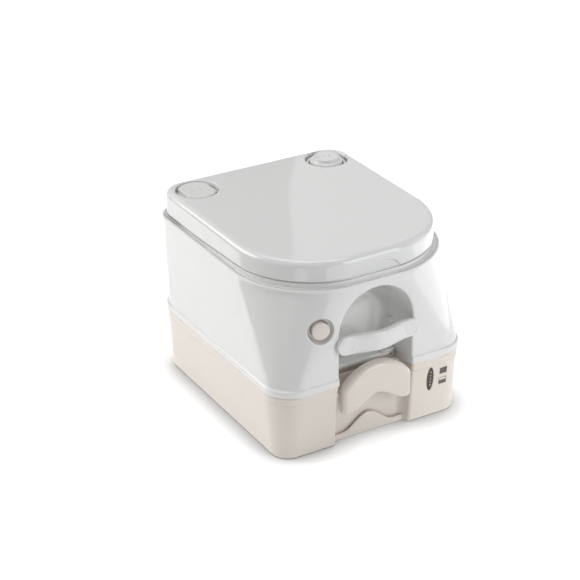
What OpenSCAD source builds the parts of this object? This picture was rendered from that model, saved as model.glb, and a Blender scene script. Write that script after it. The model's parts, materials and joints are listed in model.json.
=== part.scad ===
// Portable toilet: a flush tank with bowl, seat and lid that stands on a holding tank.
// Origin: middle of the footprint, on the floor. +X is the user's right hand seen from
// the front, the front faces -Y, +Z is up. Millimetres.

/* [Body] */
// Width over the flange at the seam between the tanks
body_w = 333; // [325:1:345]
// Depth over the flange at the seam between the tanks
body_d = 380; // [372:1:395]
// Height of the seam, where the flush tank stands on the holding tank
seam_z = 105; // [100:1:112]
// Height of the rim, where the deck closes the flush tank
rim_z = 262; // [256:1:270]
// Wall of both tanks
wall = 3; // [2.5:0.1:3.5]
// Corner radius at the seam
seam_r = 45; // [40:1:50]
// Front corner radius at the rim
rim_front_r = 126; // [110:1:130]
// Rear corner radius at the rim
rim_rear_r = 36; // [30:1:42]

/* [Holding tank] */
// How far the foot stands in from the seam flange
foot_inset = 9; // [7:0.5:11]
// Corner radius of the foot
foot_r = 30; // [25:1:35]
// Height of the bead along the tank's top edge
tank_bead_h = 7; // [5:0.5:9]
// Depth of the valve bay below the seam
bay_depth = 13; // [12.5:0.1:15]
// Radius of the port that the bowl empties through
port_r = 42; // [36:1:44]
// How far the port's centre lies in front of the body's middle
port_forward = 14; // [8:1:18]

/* [Handle recess] */
// Half width of the recess in the holding tank's front
recess_hw = 64; // [63:0.5:68]
// Depth of that recess
recess_depth = 27; // [24:1:30]
// Radius of the upper recess's round head, on the front face
arch_r = 62.5; // [58:0.5:64]
// Height of the upper recess's crown
arch_top_z = 248; // [240:1:250]
// Depth of the upper recess
arch_depth = 60; // [45:1:62]

/* [Pull handle] */
// Width of the arched pull handle
pull_w = 118; // [108:1:120]
// Height of the pull handle's crown
pull_top_z = 129; // [124:1:134]
// Height of the tips of its two legs
pull_foot_z = 55; // [50:1:60]
// Front to back thickness of the pull handle
pull_t = 14; // [12:0.5:15]

/* [Carry handle] */
// Length of the carry handle
carry_l = 139; // [134:1:146]
// Height of its bar
carry_h = 29; // [24:1:32]
// Height of the bar's middle line
carry_z = 170; // [165:1:176]
// How far the middle of the bar bows out beyond its ends
carry_bow = 10; // [6:0.5:12]

/* [Lid and seat] */
// Gap between the rim and the lid's skirt
lid_gap = 8.5; // [7.5:0.5:9]
// How far the lid stands in from the seam flange
lid_inset = 7.5; // [6:0.5:9]
// Height of the lid over its skirt's lower edge
lid_h = 32; // [30:0.5:34]
// Crown of the lid
lid_crown = 3.5; // [2:0.5:5]
// Wall of the lid
lid_t = 3; // [2.5:0.1:3.2]
// Radius of the round openings at the lid's rear corners
lid_hole_r = 33.5; // [33:0.5:35]
// Thickness of the seat
seat_t = 14; // [12:0.5:15]

/* [Caps, pump and latch] */
// How far the filler and the pump stand in from the flange at the sides
cap_side = 51.5; // [50:0.5:53.5]
// How far they stand in from the flange at the back
cap_back = 50; // [49:0.5:52]
// Radius of the filler cap
fill_cap_r = 29.5; // [27:0.5:30]
// Radius of the pump's button
pump_r = 26; // [22:0.5:26.5]
// Travel of the pump's button
pump_travel = 12; // [8:0.5:13]
// Radius of the latch button
latch_r = 15; // [12:0.5:16]
// Travel of the latch button
latch_travel = 6; // [4:0.5:6.5]

/* [Pouring spout] */
// Outer radius of the spout's arm
spout_r = 17; // [15:0.5:18]
// Length of the arm from its pivot
spout_l = 106; // [96:1:108]

/* [Hidden] */

// Faces round a full circle
$fn = 64;
// Overrun of every cut
over = 1;
// Gap between flat faces of pieces that move on each other
slip = 0.3;
// Radial clearance of a running fit
run = 0.08;
// Radial clearance round a screw or a fixed tube
loose = 0.1;
// Steps in each rounded corner of a moulded shell
corner_steps = 7;
// Points round the bowl's ellipses
bowl_steps = 44;

// Colours of the mouldings
white = [0.90, 0.90, 0.89];
beige = [0.86, 0.81, 0.76];
smoke = [0.28, 0.23, 0.20];
black = [0.12, 0.12, 0.12];
steel = [0.72, 0.72, 0.74];
grey = [0.55, 0.55, 0.56];

// Tank outline: how far the bead stands in from the flange, and the foot's rounded edge
tank_bead_inset = 1;
tank_bead_proud = 1.2;
foot_edge = 5;
// Share of a softened edge at its middle section
soft_share = 0.3;
foot_soft = foot_edge * soft_share;
// Thickness of the holding tank's floor and of its deck
floor_t = 3;
deck_t = 4;
deck_z = seam_z - bay_depth;
// Width of the holding tank's rim round the valve bay
rim_wall = 5;
bead_z = seam_z - tank_bead_h;
port_y = -port_forward;

// Flush tank outline: flange at the seam, wall above it, double band at the rim
flange_h = 11;
flange_edge = 2;
wall_inset = 2.7;
rim_inset = 3;
band_inset = 1.2;
band_h = 3.5;
band_groove = 0.6;
plate_t = 3.5;
deck_under_z = rim_z - band_h;
flush_top_z = deck_under_z - slip;
// Places of the filler and the pump
cap_x = body_w / 2 - cap_side;
cap_y = body_d / 2 - cap_back;

// Recess in the holding tank
recess_back_y = -body_d / 2 + recess_depth;
recess_corner_r = 12;

// Notch for the spout at the holding tank's back
notch_left = 80;
notch_right = 100;
notch_depth = 54;
notch_floor_z = 38;
notch_corner_r = 10;
notch_front_y = body_d / 2 - notch_depth;
// The spout's pivot
pivot_x = 62;
pivot_y = body_d / 2 - notch_depth / 2;
pivot_bore_r = 15;
pivot_neck_r = 20;
pivot_neck_h = 12;
spout_wall = 4;
spout_boss_r = 24;
arm_rise = 32;
arm_z = notch_floor_z + arm_rise;
oring_r = 1.4;
oring_rise = 7;
oring_z = notch_floor_z + oring_rise;
// The spout's screw cap
spout_cap_l = 18;
spout_cap_wall = 3.6;
gasket_t = 1.5;
spout_tip_x = pivot_x - spout_l;

// Valve: a base and a cover with the blade between them
valve_t = 4;
blade_t = 3;
cover_t = 3.6;
blade_hw = 48;
rail_w = 8;
base_z = deck_z;
blade_z = base_z + valve_t + slip;
cover_z = blade_z + blade_t + slip;
valve_hw = blade_hw + rail_w;
valve_reach = 60;
valve_front_y = port_y - valve_reach;
stem_hw = 20;
seal_w = 7;
seal_z = cover_z + cover_t;
seal_t = seam_z - seal_z - 2 * slip;
screw_r = 1.5;
screw_head_r = 3;
screw_head_h = 1.5;
rail_mid = blade_hw + rail_w / 2;
// Places of the valve's screws: along the rails and round the rear
valve_screw_places = concat(
  [for (s = [-1, 1], share = [0.15, 0.8])
    [s * rail_mid, port_y + (valve_front_y - port_y) * share]],
  [for (a = [35, 90, 145]) [rail_mid * cos(a), port_y + rail_mid * sin(a)]]
);

// Pull handle
// How far it stands out in front of the flange
pull_proud = 6;
pull_front_y = -body_d / 2 - pull_proud;
pull_back_y = pull_front_y + pull_t;
pull_crown_r = 71;
pull_shoulder_r = 12;
pull_toe_r = 7;
pull_arch_h = 22;
boss_hw = 24;
boss_d = 18;
boss_h = 5;
pull_edge = 4;
handle_screw_x = 12;

// Lip that fingers grip at the foot of the recess
lip_t = 3.6;
lip_gap = 2.6;
lip_front_y = recess_back_y - lip_gap - lip_t;
lip_base_z = 9;
lip_hump = 24;
lip_hump_hw = 46;
lip_end_gap = 1;
lip_tab_w = 12;
lip_tab_h = 6;
lip_tab_x = 44;

// Level window
window_side = 68;
window_x = body_w / 2 - window_side;
window_z = 67.5;
window_w = 12;
window_h = 42;
window_t = 4;
prism_w = 4.6;
prism_pitch = 4.6;
// Half of a prism's base as a share of the pitch
prism_share = 0.4;
prism_proud = 0.7;

// Upper recess: its back is a smaller arch, its floor is a ledge
arch_back_share = 0.8;
arch_back_top = 24;
arch_centre_z = arch_top_z - arch_r;
arch_back_r = arch_r * arch_back_share;
arch_back_y = -body_d / 2 + wall_inset + arch_depth;
ledge_h = 12;
ledge_z = seam_z + ledge_h;
ledge_back = 35;
ledge_y = -body_d / 2 + ledge_back;
stud_r = 5;
stud_h = 5;
stud_back = 46;
stud_y = -body_d / 2 + stud_back;
stud_rise = 46;
stud_z = ledge_z + stud_rise;

// Carry handle
carry_pad_t = 7;
carry_mid_t = 9;
carry_reach = 54;
carry_edge = 5;
carry_edge_share = 0.9;
peg_r = 3;
peg_l = 9;
peg_boss_r = 6.5;
peg_inset = 4.2;
peg_x = carry_l / 2 - peg_inset;

// Bowl
bowl_a = 100;
bowl_b = 112;
neck_h = 13;
bowl_wall = 4;
bowl_power = 0.75;
// Step from the outlet neck out to the bowl's lowest ring
bowl_step = 0.3;
bowl_low_r = port_r + bowl_step;
neck_outer_r = port_r + bowl_wall;
neck_z = seam_z + slip / 2;
bowl_low_z = seam_z + neck_h;
// Heights of the bowl's sections as shares of its depth
bowl_shares = [0, 0.06, 0.14, 0.25, 0.4, 0.6, 0.8, 1];

// Filler
fill_neck_r = 25;
fill_bore_r = 20;
fill_neck_h = 24.5;
fill_flange_r = 34;
fill_flange_t = 2;
fill_flange_seat = 4;
fill_rise = 40;
fill_cap_top_z = rim_z + fill_rise;
fill_cap_t = 9;
fill_skirt_r = 28;
fill_skirt_h = 17;
scoop_depth = 5.5;
scoop_bar_hw = 23;

// Pump
pump_tube_r = 24;
pump_tube_wall = 2.5;
pump_depth = 62;
pump_flange_r = 29;
pump_flange_t = 3;
collar_wall = 3;
collar_h = 24;
collar_gap = 0.6;
collar_ribs = 24;
collar_rib = 1.2;
pump_rise = 46;
pump_top_z = rim_z + pump_rise;
pump_shoulder = 6;
pump_step_r = pump_r - pump_shoulder;
pump_step_h = 6;
// Room left over the flange when the button is pressed home
pump_spare = 4;
pump_cap_low_z = rim_z + pump_flange_t + pump_travel + pump_spare;
bellows_r = 18;
bellows_t = 1.2;
bellows_pleats = 4;
bellows_fold = 3;
pickup_r = 4;
pickup_gap = 4;
flush_r = 5;
elbow_share = 1.3;
elbow_r = flush_r * elbow_share;
mouth_w_share = 0.8;
mouth_h_share = 0.25;
mouth_low_share = 0.3;
mouth_bore_share = 0.6;
nozzle_run_share = 1.5;
// Slot for the nozzle in the bowl's rear wall: where it starts and how far it runs, as shares of the bowl's half length
slot_start_share = 0.8;
slot_run_share = 0.3;
flush_drop = 24;
flush_z = rim_z - flush_drop;
nozzle_w = 30;
nozzle_h = 14;
nozzle_d = 8;

// Latch: the button's axis leans with the rounded front corner
latch_side = 74.5;
latch_x = latch_side - body_w / 2;
latch_z = 200;
latch_lip = 6;
latch_rim_r = latch_r + latch_lip;
latch_dish = 5;
latch_spare = 10;
latch_over_share = 1.5;
latch_cup = latch_travel + latch_spare;
latch_cup_gap = 0.5;
latch_body_t = 8;
latch_stem_r = 4;
latch_bar_w = 14;
latch_bar_t = 4;
latch_bar_v = latch_cup + 2 * wall;
latch_hook_h = 3;
latch_hook_gap = 3.5;
latch_hook_z = deck_z + latch_hook_gap;
latch_nose_v = 9.5;
channel_hw = 12;
channel_spare = 4;
channel_v = latch_bar_v + latch_bar_t + latch_travel + channel_spare;
channel_rise = 12;
channel_top_z = latch_z + channel_rise;
keeper_w = 16;
keeper_h = 4;
keeper_gap = 0.5;
keeper_drop = 2;
keeper_z = seam_z - keeper_drop - keeper_h;
spring_r = 7;
spring_wire = 0.7;
spring_turns = 3;

// Hinge
hinge_back = 14;
hinge_y = body_d / 2 - hinge_back;
hinge_rise = 10;
hinge_z = rim_z + hinge_rise;
knuckle_r = 6.5;
pin_r = 3;
ear_w = 7;
ear_gap = 0.6;
hinge_x0 = 40;
hinge_x1 = hinge_x0 + ear_w + ear_gap;
hinge_x2 = hinge_x1 + ear_w + ear_gap;
hinge_x3 = hinge_x2 + ear_w + ear_gap;
pin_over = 1.5;

// Seat
seat_gap = 4;
seat_z = rim_z + seat_gap;
seat_edge = 4;
seat_side = 16.5;
seat_hw = body_w / 2 - seat_side;
seat_front = 14;
seat_front_y = -body_d / 2 + seat_front;
seat_back = 86;
seat_back_y = body_d / 2 - seat_back;
seat_front_r = 118;
seat_rear_r = 56;
seat_a = 90;
seat_b = 104;
buffer_r = 7;
buffer_x_share = 0.83;
// How far the buffers stand in from the seat's back and front
seat_buffer_back = 44;
seat_buffer_front = 92;
lid_buffer_back = 30;
lid_buffer_front = 100;

// Lid
lid_z = rim_z + lid_gap;
lid_top_z = lid_z + lid_h;
lid_edge_r = 9;
lid_inner_share = 0.7;
lid_front_r = 126;
lid_rear_r = 34;
lid_crown_run = 100;
notch_hw = 37;
notch_h = 11;
window_top = 12;
lid_ear_back_y = body_d / 2 - lid_inset - lid_t + over / 2;

// Outlines

// Points of an arc about c, from angle a0 to a1
function arc_points(c, r, a0, a1, n) =
  [for (i = [0:n]) let (a = a0 + (a1 - a0) * i / n) [c.x + r * cos(a), c.y + r * sin(a)]];

// Plan of a moulding: straight sides, one radius at the front corners, one at the rear
function plan_points(hw, front, back, rf, rb) = concat(
  arc_points([hw - rf, front + rf], rf, -90, 0, corner_steps),
  arc_points([hw - rb, back - rb], rb, 0, 90, corner_steps),
  arc_points([rb - hw, back - rb], rb, 90, 180, corner_steps),
  arc_points([rf - hw, front + rf], rf, 180, 270, corner_steps)
);

// Plan of the body, standing in from the flange by inset
function body_plan(inset, rf, rb) =
  plan_points(body_w / 2 - inset, inset - body_d / 2, body_d / 2 - inset, rf, rb);

// Ellipse about the port's centre line
function ellipse_points(a, b) =
  [for (i = [0:bowl_steps - 1]) let (t = 360 * i / bowl_steps) [a * cos(t), port_y + b * sin(t)]];

// Smooth hump of height 1 at 0 that ends at distance 1
function hump(u) = (1 + cos(180 * min(1, abs(u)))) / 2;

// Front face of the holding tank at height z
function tank_face_y(z) = -body_d / 2 + foot_inset
  - (foot_inset - tank_bead_inset - tank_bead_proud) * (z - foot_edge) / (bead_z - foot_edge);

// Lean of that face
tank_lean = atan((foot_inset - tank_bead_inset - tank_bead_proud) / (bead_z - foot_edge));

// Front corner radius and inset of the flush tank's wall at height z
function wall_share(z) = (z - seam_z - flange_h) / (flush_top_z - band_h - seam_z - flange_h);
function wall_front_r(z) = seam_r + (rim_front_r - seam_r) * wall_share(z);

// Where the latch's axis meets that wall, and how far it leans
latch_corner_r = wall_front_r(latch_z);
latch_corner_x = body_w / 2 - wall_inset - latch_corner_r;
latch_turn = asin((abs(latch_x) - latch_corner_x) / latch_corner_r);
latch_y = -body_d / 2 + wall_inset + latch_corner_r * (1 - cos(latch_turn));

// Solids

// Closed solid through rings of equal point counts, each [height, points]
module loft(rings) {
  n = len(rings[0][1]);
  top = len(rings) - 1;
  points = [for (r = rings, p = r[1]) [p.x, p.y, r[0]]];
  sides = [for (k = [0:top - 1], i = [0:n - 1], half = [0, 1])
    let (j = (i + 1) % n, a = k * n, b = a + n)
    half == 0 ? [a + i, b + i, b + j] : [a + i, b + j, a + j]];
  polyhedron(points, concat(
    [[for (i = [0:n - 1]) i]],
    sides,
    [[for (i = [n - 1:-1:0]) top * n + i]]
  ), convexity = 6);
}

// Shell outline of the body through sections [height, inset, front radius, rear radius]
module body_loft(sections, shrink = 0) {
  loft([for (s = sections) [s[0], body_plan(s[1] + shrink, s[2] - shrink, s[3] - shrink)]]);
}

// Flat plate of the body's plan
module body_plate(z, h, inset, rf, rb) {
  translate([0, 0, z]) linear_extrude(h) polygon(body_plan(inset, rf, rb));
}

// Block open towards the front, its rear corners rounded
module bay_block(hw, front, back, z0, z1, r) {
  translate([0, 0, z0]) linear_extrude(z1 - z0) {
    translate([-hw, front]) square([2 * hw, back - r - front]);
    translate([r - hw, front]) square([2 * (hw - r), back - front]);
    for (s = [-1, 1]) translate([s * (hw - r), back - r]) circle(r);
  }
}

// Block open towards the back, its front corners rounded
module notch_block(x0, x1, front, back, z0, z1, r) {
  translate([0, 0, z0]) linear_extrude(z1 - z0) {
    translate([x0, front + r]) square([x1 - x0, back - front - r]);
    translate([x0 + r, front]) square([x1 - x0 - 2 * r, back - front]);
    for (x = [x0 + r, x1 - r]) translate([x, front + r]) circle(r);
  }
}

// Upright arch plate in the plane y, from z0 up to its round head
module arch_plate(r, centre_z, y, z0, t) {
  translate([0, y, 0]) rotate([90, 0, 0]) linear_extrude(t) {
    translate([-r, z0]) square([2 * r, centre_z - z0]);
    translate([0, centre_z]) circle(r, $fn = 40);
  }
}

// Ring about a vertical axis
module ring(r_out, r_in, z0, h) {
  translate([0, 0, z0]) rotate_extrude() translate([r_in, 0]) square([r_out - r_in, h]);
}

// Frame of the latch: z stays up, +y runs into the tank along the button's axis
module in_latch_frame() {
  translate([latch_x, latch_y, 0]) rotate([0, 0, -latch_turn]) children();
}

module lying_cylinder(r, y0, y1, z) {
  translate([0, y0, z]) rotate([-90, 0, 0]) cylinder(r = r, h = y1 - y0);
}

// Holding tank

tank_sections = [
  [0, foot_inset + foot_edge, foot_r - foot_edge, foot_r - foot_edge],
  [foot_soft, foot_inset + foot_soft, foot_r - foot_soft, foot_r - foot_soft],
  [foot_edge, foot_inset, foot_r, foot_r],
  [bead_z, tank_bead_inset + tank_bead_proud, seam_r - tank_bead_inset, seam_r - tank_bead_inset],
  [bead_z + tank_bead_proud, tank_bead_inset, seam_r, seam_r],
  [seam_z - tank_bead_proud, tank_bead_inset, seam_r, seam_r],
  [seam_z, tank_bead_inset + tank_bead_proud / 2, seam_r, seam_r]
];

tank_inner_sections = [
  [floor_t, foot_inset + foot_edge / 2, foot_r - foot_edge / 2, foot_r - foot_edge / 2],
  [floor_t + foot_edge, foot_inset, foot_r, foot_r],
  [deck_z - deck_t, tank_bead_inset + tank_bead_proud, seam_r - tank_bead_inset, seam_r - tank_bead_inset]
];

module front_recess(grow, z0, z1) {
  bay_block(recess_hw + grow, -body_d, recess_back_y + grow, z0, z1, recess_corner_r + grow);
}

module spout_notch(grow, z0, z1) {
  notch_block(-notch_left - grow, notch_right + grow, notch_front_y - grow, body_d,
    z0, z1, notch_corner_r + grow);
}

module window_outline(grow) {
  r = window_w / 2 + grow;
  half = (window_h - window_w) / 2;
  for (s = [-1, 1]) translate([0, s * half]) circle(r);
  translate([-r, -half]) square([2 * r, 2 * half]);
}

module at_window() {
  translate([window_x, tank_face_y(window_z), window_z]) rotate([90 + tank_lean, 0, 0]) children();
}

module holding_tank() {
  color(beige) {
    difference() {
      body_loft(tank_sections);
      difference() {
        body_loft(tank_inner_sections, wall);
        front_recess(wall, 0, seam_z);
        spout_notch(wall, notch_floor_z - wall, seam_z);
      }
      body_plate(deck_z, bay_depth + over, tank_bead_inset + rim_wall, seam_r - rim_wall, seam_r - rim_wall);
      front_recess(0, -over, seam_z + over);
      spout_notch(0, notch_floor_z, seam_z + over);
      translate([0, port_y, deck_z - deck_t - over]) cylinder(r = port_r, h = deck_t + 2 * over);
      translate([pivot_x, pivot_y, notch_floor_z - wall - over]) cylinder(r = pivot_bore_r, h = wall + 2 * over);
      at_window() translate([0, 0, -wall * 2]) linear_extrude(wall * 3) window_outline(loose);
    }
    // Neck that the spout turns on, grooved for its ring
    translate([pivot_x, pivot_y, 0]) difference() {
      ring(pivot_neck_r, pivot_bore_r, notch_floor_z, pivot_neck_h);
      ring(pivot_neck_r + over, pivot_neck_r - 2 * oring_r, oring_z - oring_r, 2 * oring_r);
    }
    // Keeper that the latch's hook reaches under
    intersection() {
      in_latch_frame() translate([-keeper_w / 2, -seam_r, keeper_z])
        cube([keeper_w, latch_nose_v - keeper_gap + seam_r, keeper_h]);
      body_plate(keeper_z, keeper_h, tank_bead_inset + wall / 2, seam_r - wall / 2, seam_r - wall / 2);
    }
  }
}

module valve_outline() {
  translate([-valve_hw, valve_front_y]) square([2 * valve_hw, port_y - valve_front_y]);
  translate([0, port_y]) circle(valve_hw);
}

module blade_outline(grow, front) {
  translate([0, port_y]) circle(blade_hw + grow);
  translate([-blade_hw - grow, front]) square([2 * (blade_hw + grow), port_y - front]);
}

module valve_base() {
  color(grey) difference() {
    union() {
      translate([0, 0, base_z]) linear_extrude(valve_t) valve_outline();
      translate([0, 0, base_z]) linear_extrude(cover_z - base_z) difference() {
        valve_outline();
        blade_outline(slip, valve_front_y - over);
      }
    }
    translate([0, port_y, base_z - over]) cylinder(r = port_r, h = valve_t + 2 * over);
    for (p = valve_screw_places) translate([p.x, p.y, base_z + slip])
      cylinder(r = screw_r + loose, h = cover_z - base_z);
  }
}

module valve_cover() {
  color(grey) difference() {
    translate([0, 0, cover_z]) linear_extrude(cover_t) valve_outline();
    translate([0, port_y, cover_z - over]) cylinder(r = port_r, h = cover_t + 2 * over);
    for (p = valve_screw_places) translate([p.x, p.y, cover_z - over]) {
      cylinder(r = screw_r + loose, h = cover_t + 2 * over);
      translate([0, 0, cover_t + over - screw_head_h]) cylinder(r = screw_head_r + loose, h = screw_head_h + over);
    }
  }
}

module valve_screws() {
  color(steel) for (p = valve_screw_places) translate([p.x, p.y, 0]) {
    translate([0, 0, base_z + 2 * slip]) cylinder(r = screw_r, h = seal_z - base_z - screw_head_h - slip);
    translate([0, 0, seal_z - screw_head_h]) cylinder(r = screw_head_r, h = screw_head_h);
  }
}

module lip_seal() {
  color(black) translate([0, port_y, 0]) ring(port_r + seal_w, port_r + slip, seal_z, seal_t);
}

// Upright lip with a hump in the middle, held off the recess's back by two tabs
module grip_lip() {
  corner_y = recess_back_y - recess_corner_r;
  hw = recess_hw - recess_corner_r - lip_end_gap
    + sqrt(pow(recess_corner_r, 2) - pow(lip_front_y + lip_t - corner_y, 2));
  steps = 24;
  color(beige) {
    translate([0, lip_front_y + lip_t, 0]) rotate([90, 0, 0]) linear_extrude(lip_t) polygon(concat(
      [[-hw, 0], [hw, 0]],
      [for (i = [0:steps]) let (x = hw - 2 * hw * i / steps) [x, lip_base_z + lip_hump * hump(x / lip_hump_hw)]]
    ));
    for (s = [-1, 1]) translate([s * lip_tab_x - lip_tab_w / 2, lip_front_y + lip_t, 0])
      cube([lip_tab_w, lip_gap, lip_tab_h]);
  }
}

module level_window() {
  rows = 6;
  color(smoke) at_window() {
    translate([0, 0, -window_t]) linear_extrude(window_t - slip) window_outline(0);
    for (i = [0:rows - 1]) translate([-prism_w / 2, (i - (rows - 1) / 2) * prism_pitch, -slip])
      rotate([90, 0, 90]) linear_extrude(prism_w)
        polygon([[-prism_pitch * prism_share, 0], [prism_pitch * prism_share, 0], [0, prism_proud]]);
  }
}

module spout_oring() {
  color(black) translate([pivot_x, pivot_y, oring_z])
    rotate_extrude() translate([pivot_neck_r - oring_r, 0]) circle(oring_r, $fn = 20);
}

// Valve blade and its pull handle

module valve_blade() {
  color(grey) translate([0, 0, blade_z]) linear_extrude(blade_t) difference() {
    union() {
      blade_outline(0, valve_front_y + rail_w);
      translate([-stem_hw, pull_back_y + slip])
        square([2 * stem_hw, port_y - pull_back_y]);
    }
    for (s = [-1, 1]) translate([s * handle_screw_x, pull_back_y + boss_d / 2]) circle(screw_r + loose);
  }
}

// Front view of the pull handle: a crown, round shoulders and toes, and a bell-shaped arch
function pull_points(inset) =
  let (
    hw = pull_w / 2 - inset,
    crown = [0, pull_top_z - pull_crown_r],
    crown_r = pull_crown_r - inset,
    shoulder_r = pull_shoulder_r - inset,
    rise = sqrt(pow(crown_r - shoulder_r, 2) - pow(hw - shoulder_r, 2)),
    turn = atan2(rise, hw - shoulder_r),
    toe_r = pull_toe_r - inset / 2,
    foot = pull_foot_z + inset,
    n = 4
  ) concat(
    arc_points([hw - toe_r, foot + toe_r], toe_r, -90, 0, n),
    arc_points([hw - shoulder_r, crown.y + rise], shoulder_r, 0, turn, n),
    arc_points(crown, crown_r, turn, 180 - turn, 3 * n),
    arc_points([shoulder_r - hw, crown.y + rise], shoulder_r, 180 - turn, 180, n),
    arc_points([toe_r - hw, foot + toe_r], toe_r, 180, 270, n),
    [for (i = [1:3 * n - 1]) let (u = 2 * i / (3 * n) - 1) [u * (hw - toe_r), foot + pull_arch_h * hump(u)]]
  );

module valve_handle() {
  boss_z = blade_z + blade_t;
  color(beige) difference() {
    union() {
      translate([0, pull_back_y, 0]) rotate([90, 0, 0]) loft(concat(
        [[0, pull_points(pull_edge / 3)], [pull_edge / 3, pull_points(0)]],
        [for (a = [0, 40, 90]) [pull_t - pull_edge * (1 - sin(a)), pull_points(pull_edge * (1 - cos(a)))]]
      ));
      translate([-boss_hw, pull_back_y - over, boss_z]) cube([2 * boss_hw, boss_d + over, boss_h]);
    }
    for (s = [-1, 1]) translate([s * handle_screw_x, pull_back_y + boss_d / 2, boss_z - over])
      cylinder(r = screw_r + loose, h = boss_h);
  }
}

module handle_screws() {
  color(steel) for (s = [-1, 1]) translate([s * handle_screw_x, pull_back_y + boss_d / 2, blade_z - screw_head_h]) {
    cylinder(r = screw_head_r, h = screw_head_h);
    cylinder(r = screw_r, h = screw_head_h + blade_t + boss_h - over - slip);
  }
}

// Pouring spout

module spout() {
  low = notch_floor_z + slip;
  color(beige) translate([pivot_x, pivot_y, 0]) difference() {
    union() {
      translate([0, 0, low]) cylinder(r = spout_boss_r, h = arm_z - low);
      translate([0, 0, arm_z]) sphere(spout_boss_r - spout_wall / 2);
      translate([-spout_l, 0, arm_z]) rotate([0, 90, 0]) cylinder(r = spout_r, h = spout_l);
    }
    translate([0, 0, low - over]) cylinder(r = pivot_neck_r + run, h = pivot_neck_h + over + slip);
    translate([0, 0, low]) cylinder(r = pivot_bore_r, h = arm_z - low);
    translate([0, 0, arm_z]) sphere(pivot_bore_r);
    translate([-spout_l - over, 0, arm_z]) rotate([0, 90, 0]) cylinder(r = spout_r - spout_wall, h = spout_l + over);
  }
}

module cap_gasket() {
  color(black) translate([spout_tip_x - slip - gasket_t, pivot_y, arm_z])
    rotate([0, 90, 0]) cylinder(r = spout_r, h = gasket_t);
}

module spout_cap() {
  outer = spout_r + spout_cap_wall;
  back_x = spout_tip_x - 2 * slip - gasket_t - spout_cap_wall;
  color(beige) translate([back_x, pivot_y, arm_z]) rotate([0, 90, 0]) difference() {
    union() {
      cylinder(r = outer, h = spout_cap_l);
      for (i = [0:11]) rotate(i * 30) translate([outer - over, 0, 0]) cylinder(r = over * 1.8, h = spout_cap_l, $fn = 16);
    }
    translate([0, 0, spout_cap_wall]) cylinder(r = spout_r + slip, h = spout_cap_l);
  }
}

// Flush tank

flush_sections = [
  [seam_z, flange_edge / 2, seam_r - flange_edge / 2, seam_r - flange_edge / 2],
  [seam_z + flange_edge, 0, seam_r, seam_r],
  [seam_z + flange_h - flange_edge, 0, seam_r, seam_r],
  [seam_z + flange_h, wall_inset, seam_r, seam_r],
  [flush_top_z - band_h, rim_inset, rim_front_r, rim_rear_r],
  [flush_top_z - band_h + band_groove, band_inset, rim_front_r, rim_rear_r],
  [flush_top_z - band_groove, band_inset, rim_front_r, rim_rear_r],
  [flush_top_z, rim_inset, rim_front_r, rim_rear_r]
];

flush_inner_sections = [
  [seam_z + plate_t, wall_inset, seam_r, seam_r],
  [seam_z + flange_h, wall_inset, seam_r, seam_r],
  [flush_top_z - band_h, rim_inset, rim_front_r, rim_rear_r],
  [flush_top_z + over, rim_inset, rim_front_r, rim_rear_r]
];

// Scooped recess above the ledge, grown by a wall where it is the tank's inside
module scoop(grow, z0) {
  hull() {
    arch_plate(arch_r + grow, arch_centre_z, -body_d / 2 - over, z0, over);
    arch_plate(arch_back_r + grow, arch_top_z - arch_back_top - arch_back_r, arch_back_y + grow, z0, over);
  }
}

module latch_channel(grow) {
  in_latch_frame() {
    translate([-channel_hw - grow, latch_cup + wall - grow, seam_z - over])
      cube([2 * (channel_hw + grow), channel_v - latch_cup - wall + 2 * grow, channel_top_z - seam_z + over + grow]);
    translate([-channel_hw - grow, wall + plate_t / 2 - grow, seam_z - over])
      cube([2 * (channel_hw + grow), latch_cup, latch_z - latch_rim_r - wall - seam_z + over]);
  }
}

module water_tank() {
  color(white) difference() {
    union() {
      difference() {
        body_loft(flush_sections);
        difference() {
          body_loft(flush_inner_sections, wall);
          // Walls that keep the water off the recess, the latch and the pegs
          scoop(wall, ledge_z - wall);
          translate([-arch_r - wall, -body_d, seam_z])
            cube([2 * (arch_r + wall), ledge_y + wall + body_d, ledge_h]);
          latch_channel(wall);
          in_latch_frame() lying_cylinder(latch_rim_r + wall, 0, latch_cup + wall, latch_z);
          for (s = [-1, 1]) translate([s * peg_x, 0, 0]) lying_cylinder(peg_boss_r, -body_d / 2, -body_d / 2 + peg_l + 2 * wall, carry_z);
        }
        scoop(0, ledge_z);
        translate([-arch_r, -body_d, seam_z - over]) cube([2 * arch_r, ledge_y + body_d, ledge_h + 2 * over]);
      }
      // Round stud on the right-hand wall of the recess
      translate([stud_wall_x() - stud_h, stud_y, stud_z]) rotate([0, 90, 0]) cylinder(r = stud_r, h = stud_h + wall);
    }
    translate([0, port_y, seam_z - over]) cylinder(r = neck_outer_r + slip, h = plate_t + 2 * over);
    in_latch_frame() {
      translate([0, -over, latch_z]) rotate([-90, 0, 0])
        cylinder(r1 = latch_rim_r + over, r2 = latch_r + latch_cup_gap, h = latch_dish + over);
      lying_cylinder(latch_r + latch_cup_gap, 0, latch_cup, latch_z);
      lying_cylinder(latch_stem_r + loose, 0, latch_cup + 2 * wall, latch_z);
    }
    latch_channel(0);
    for (s = [-1, 1]) translate([s * peg_x, 0, 0])
      lying_cylinder(peg_r + loose, -body_d / 2, carry_face_y + peg_l + slip, carry_z);
  }
}

// Half width of the recess at the stud's depth
function stud_wall_x() = arch_r - (arch_r - arch_back_r) * (stud_y + body_d / 2) / (arch_back_y + body_d / 2);

function bowl_radius(low, high, share) = low + (high - low) * pow(share, bowl_power);

function bowl_rings(grow, top) = [for (share = bowl_shares) [
  bowl_low_z + (rim_z - bowl_low_z) * share + (share == 1 ? top : 0),
  ellipse_points(bowl_radius(bowl_low_r, bowl_a, share) + grow, bowl_radius(bowl_low_r, bowl_b, share) + grow)
]];

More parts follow.
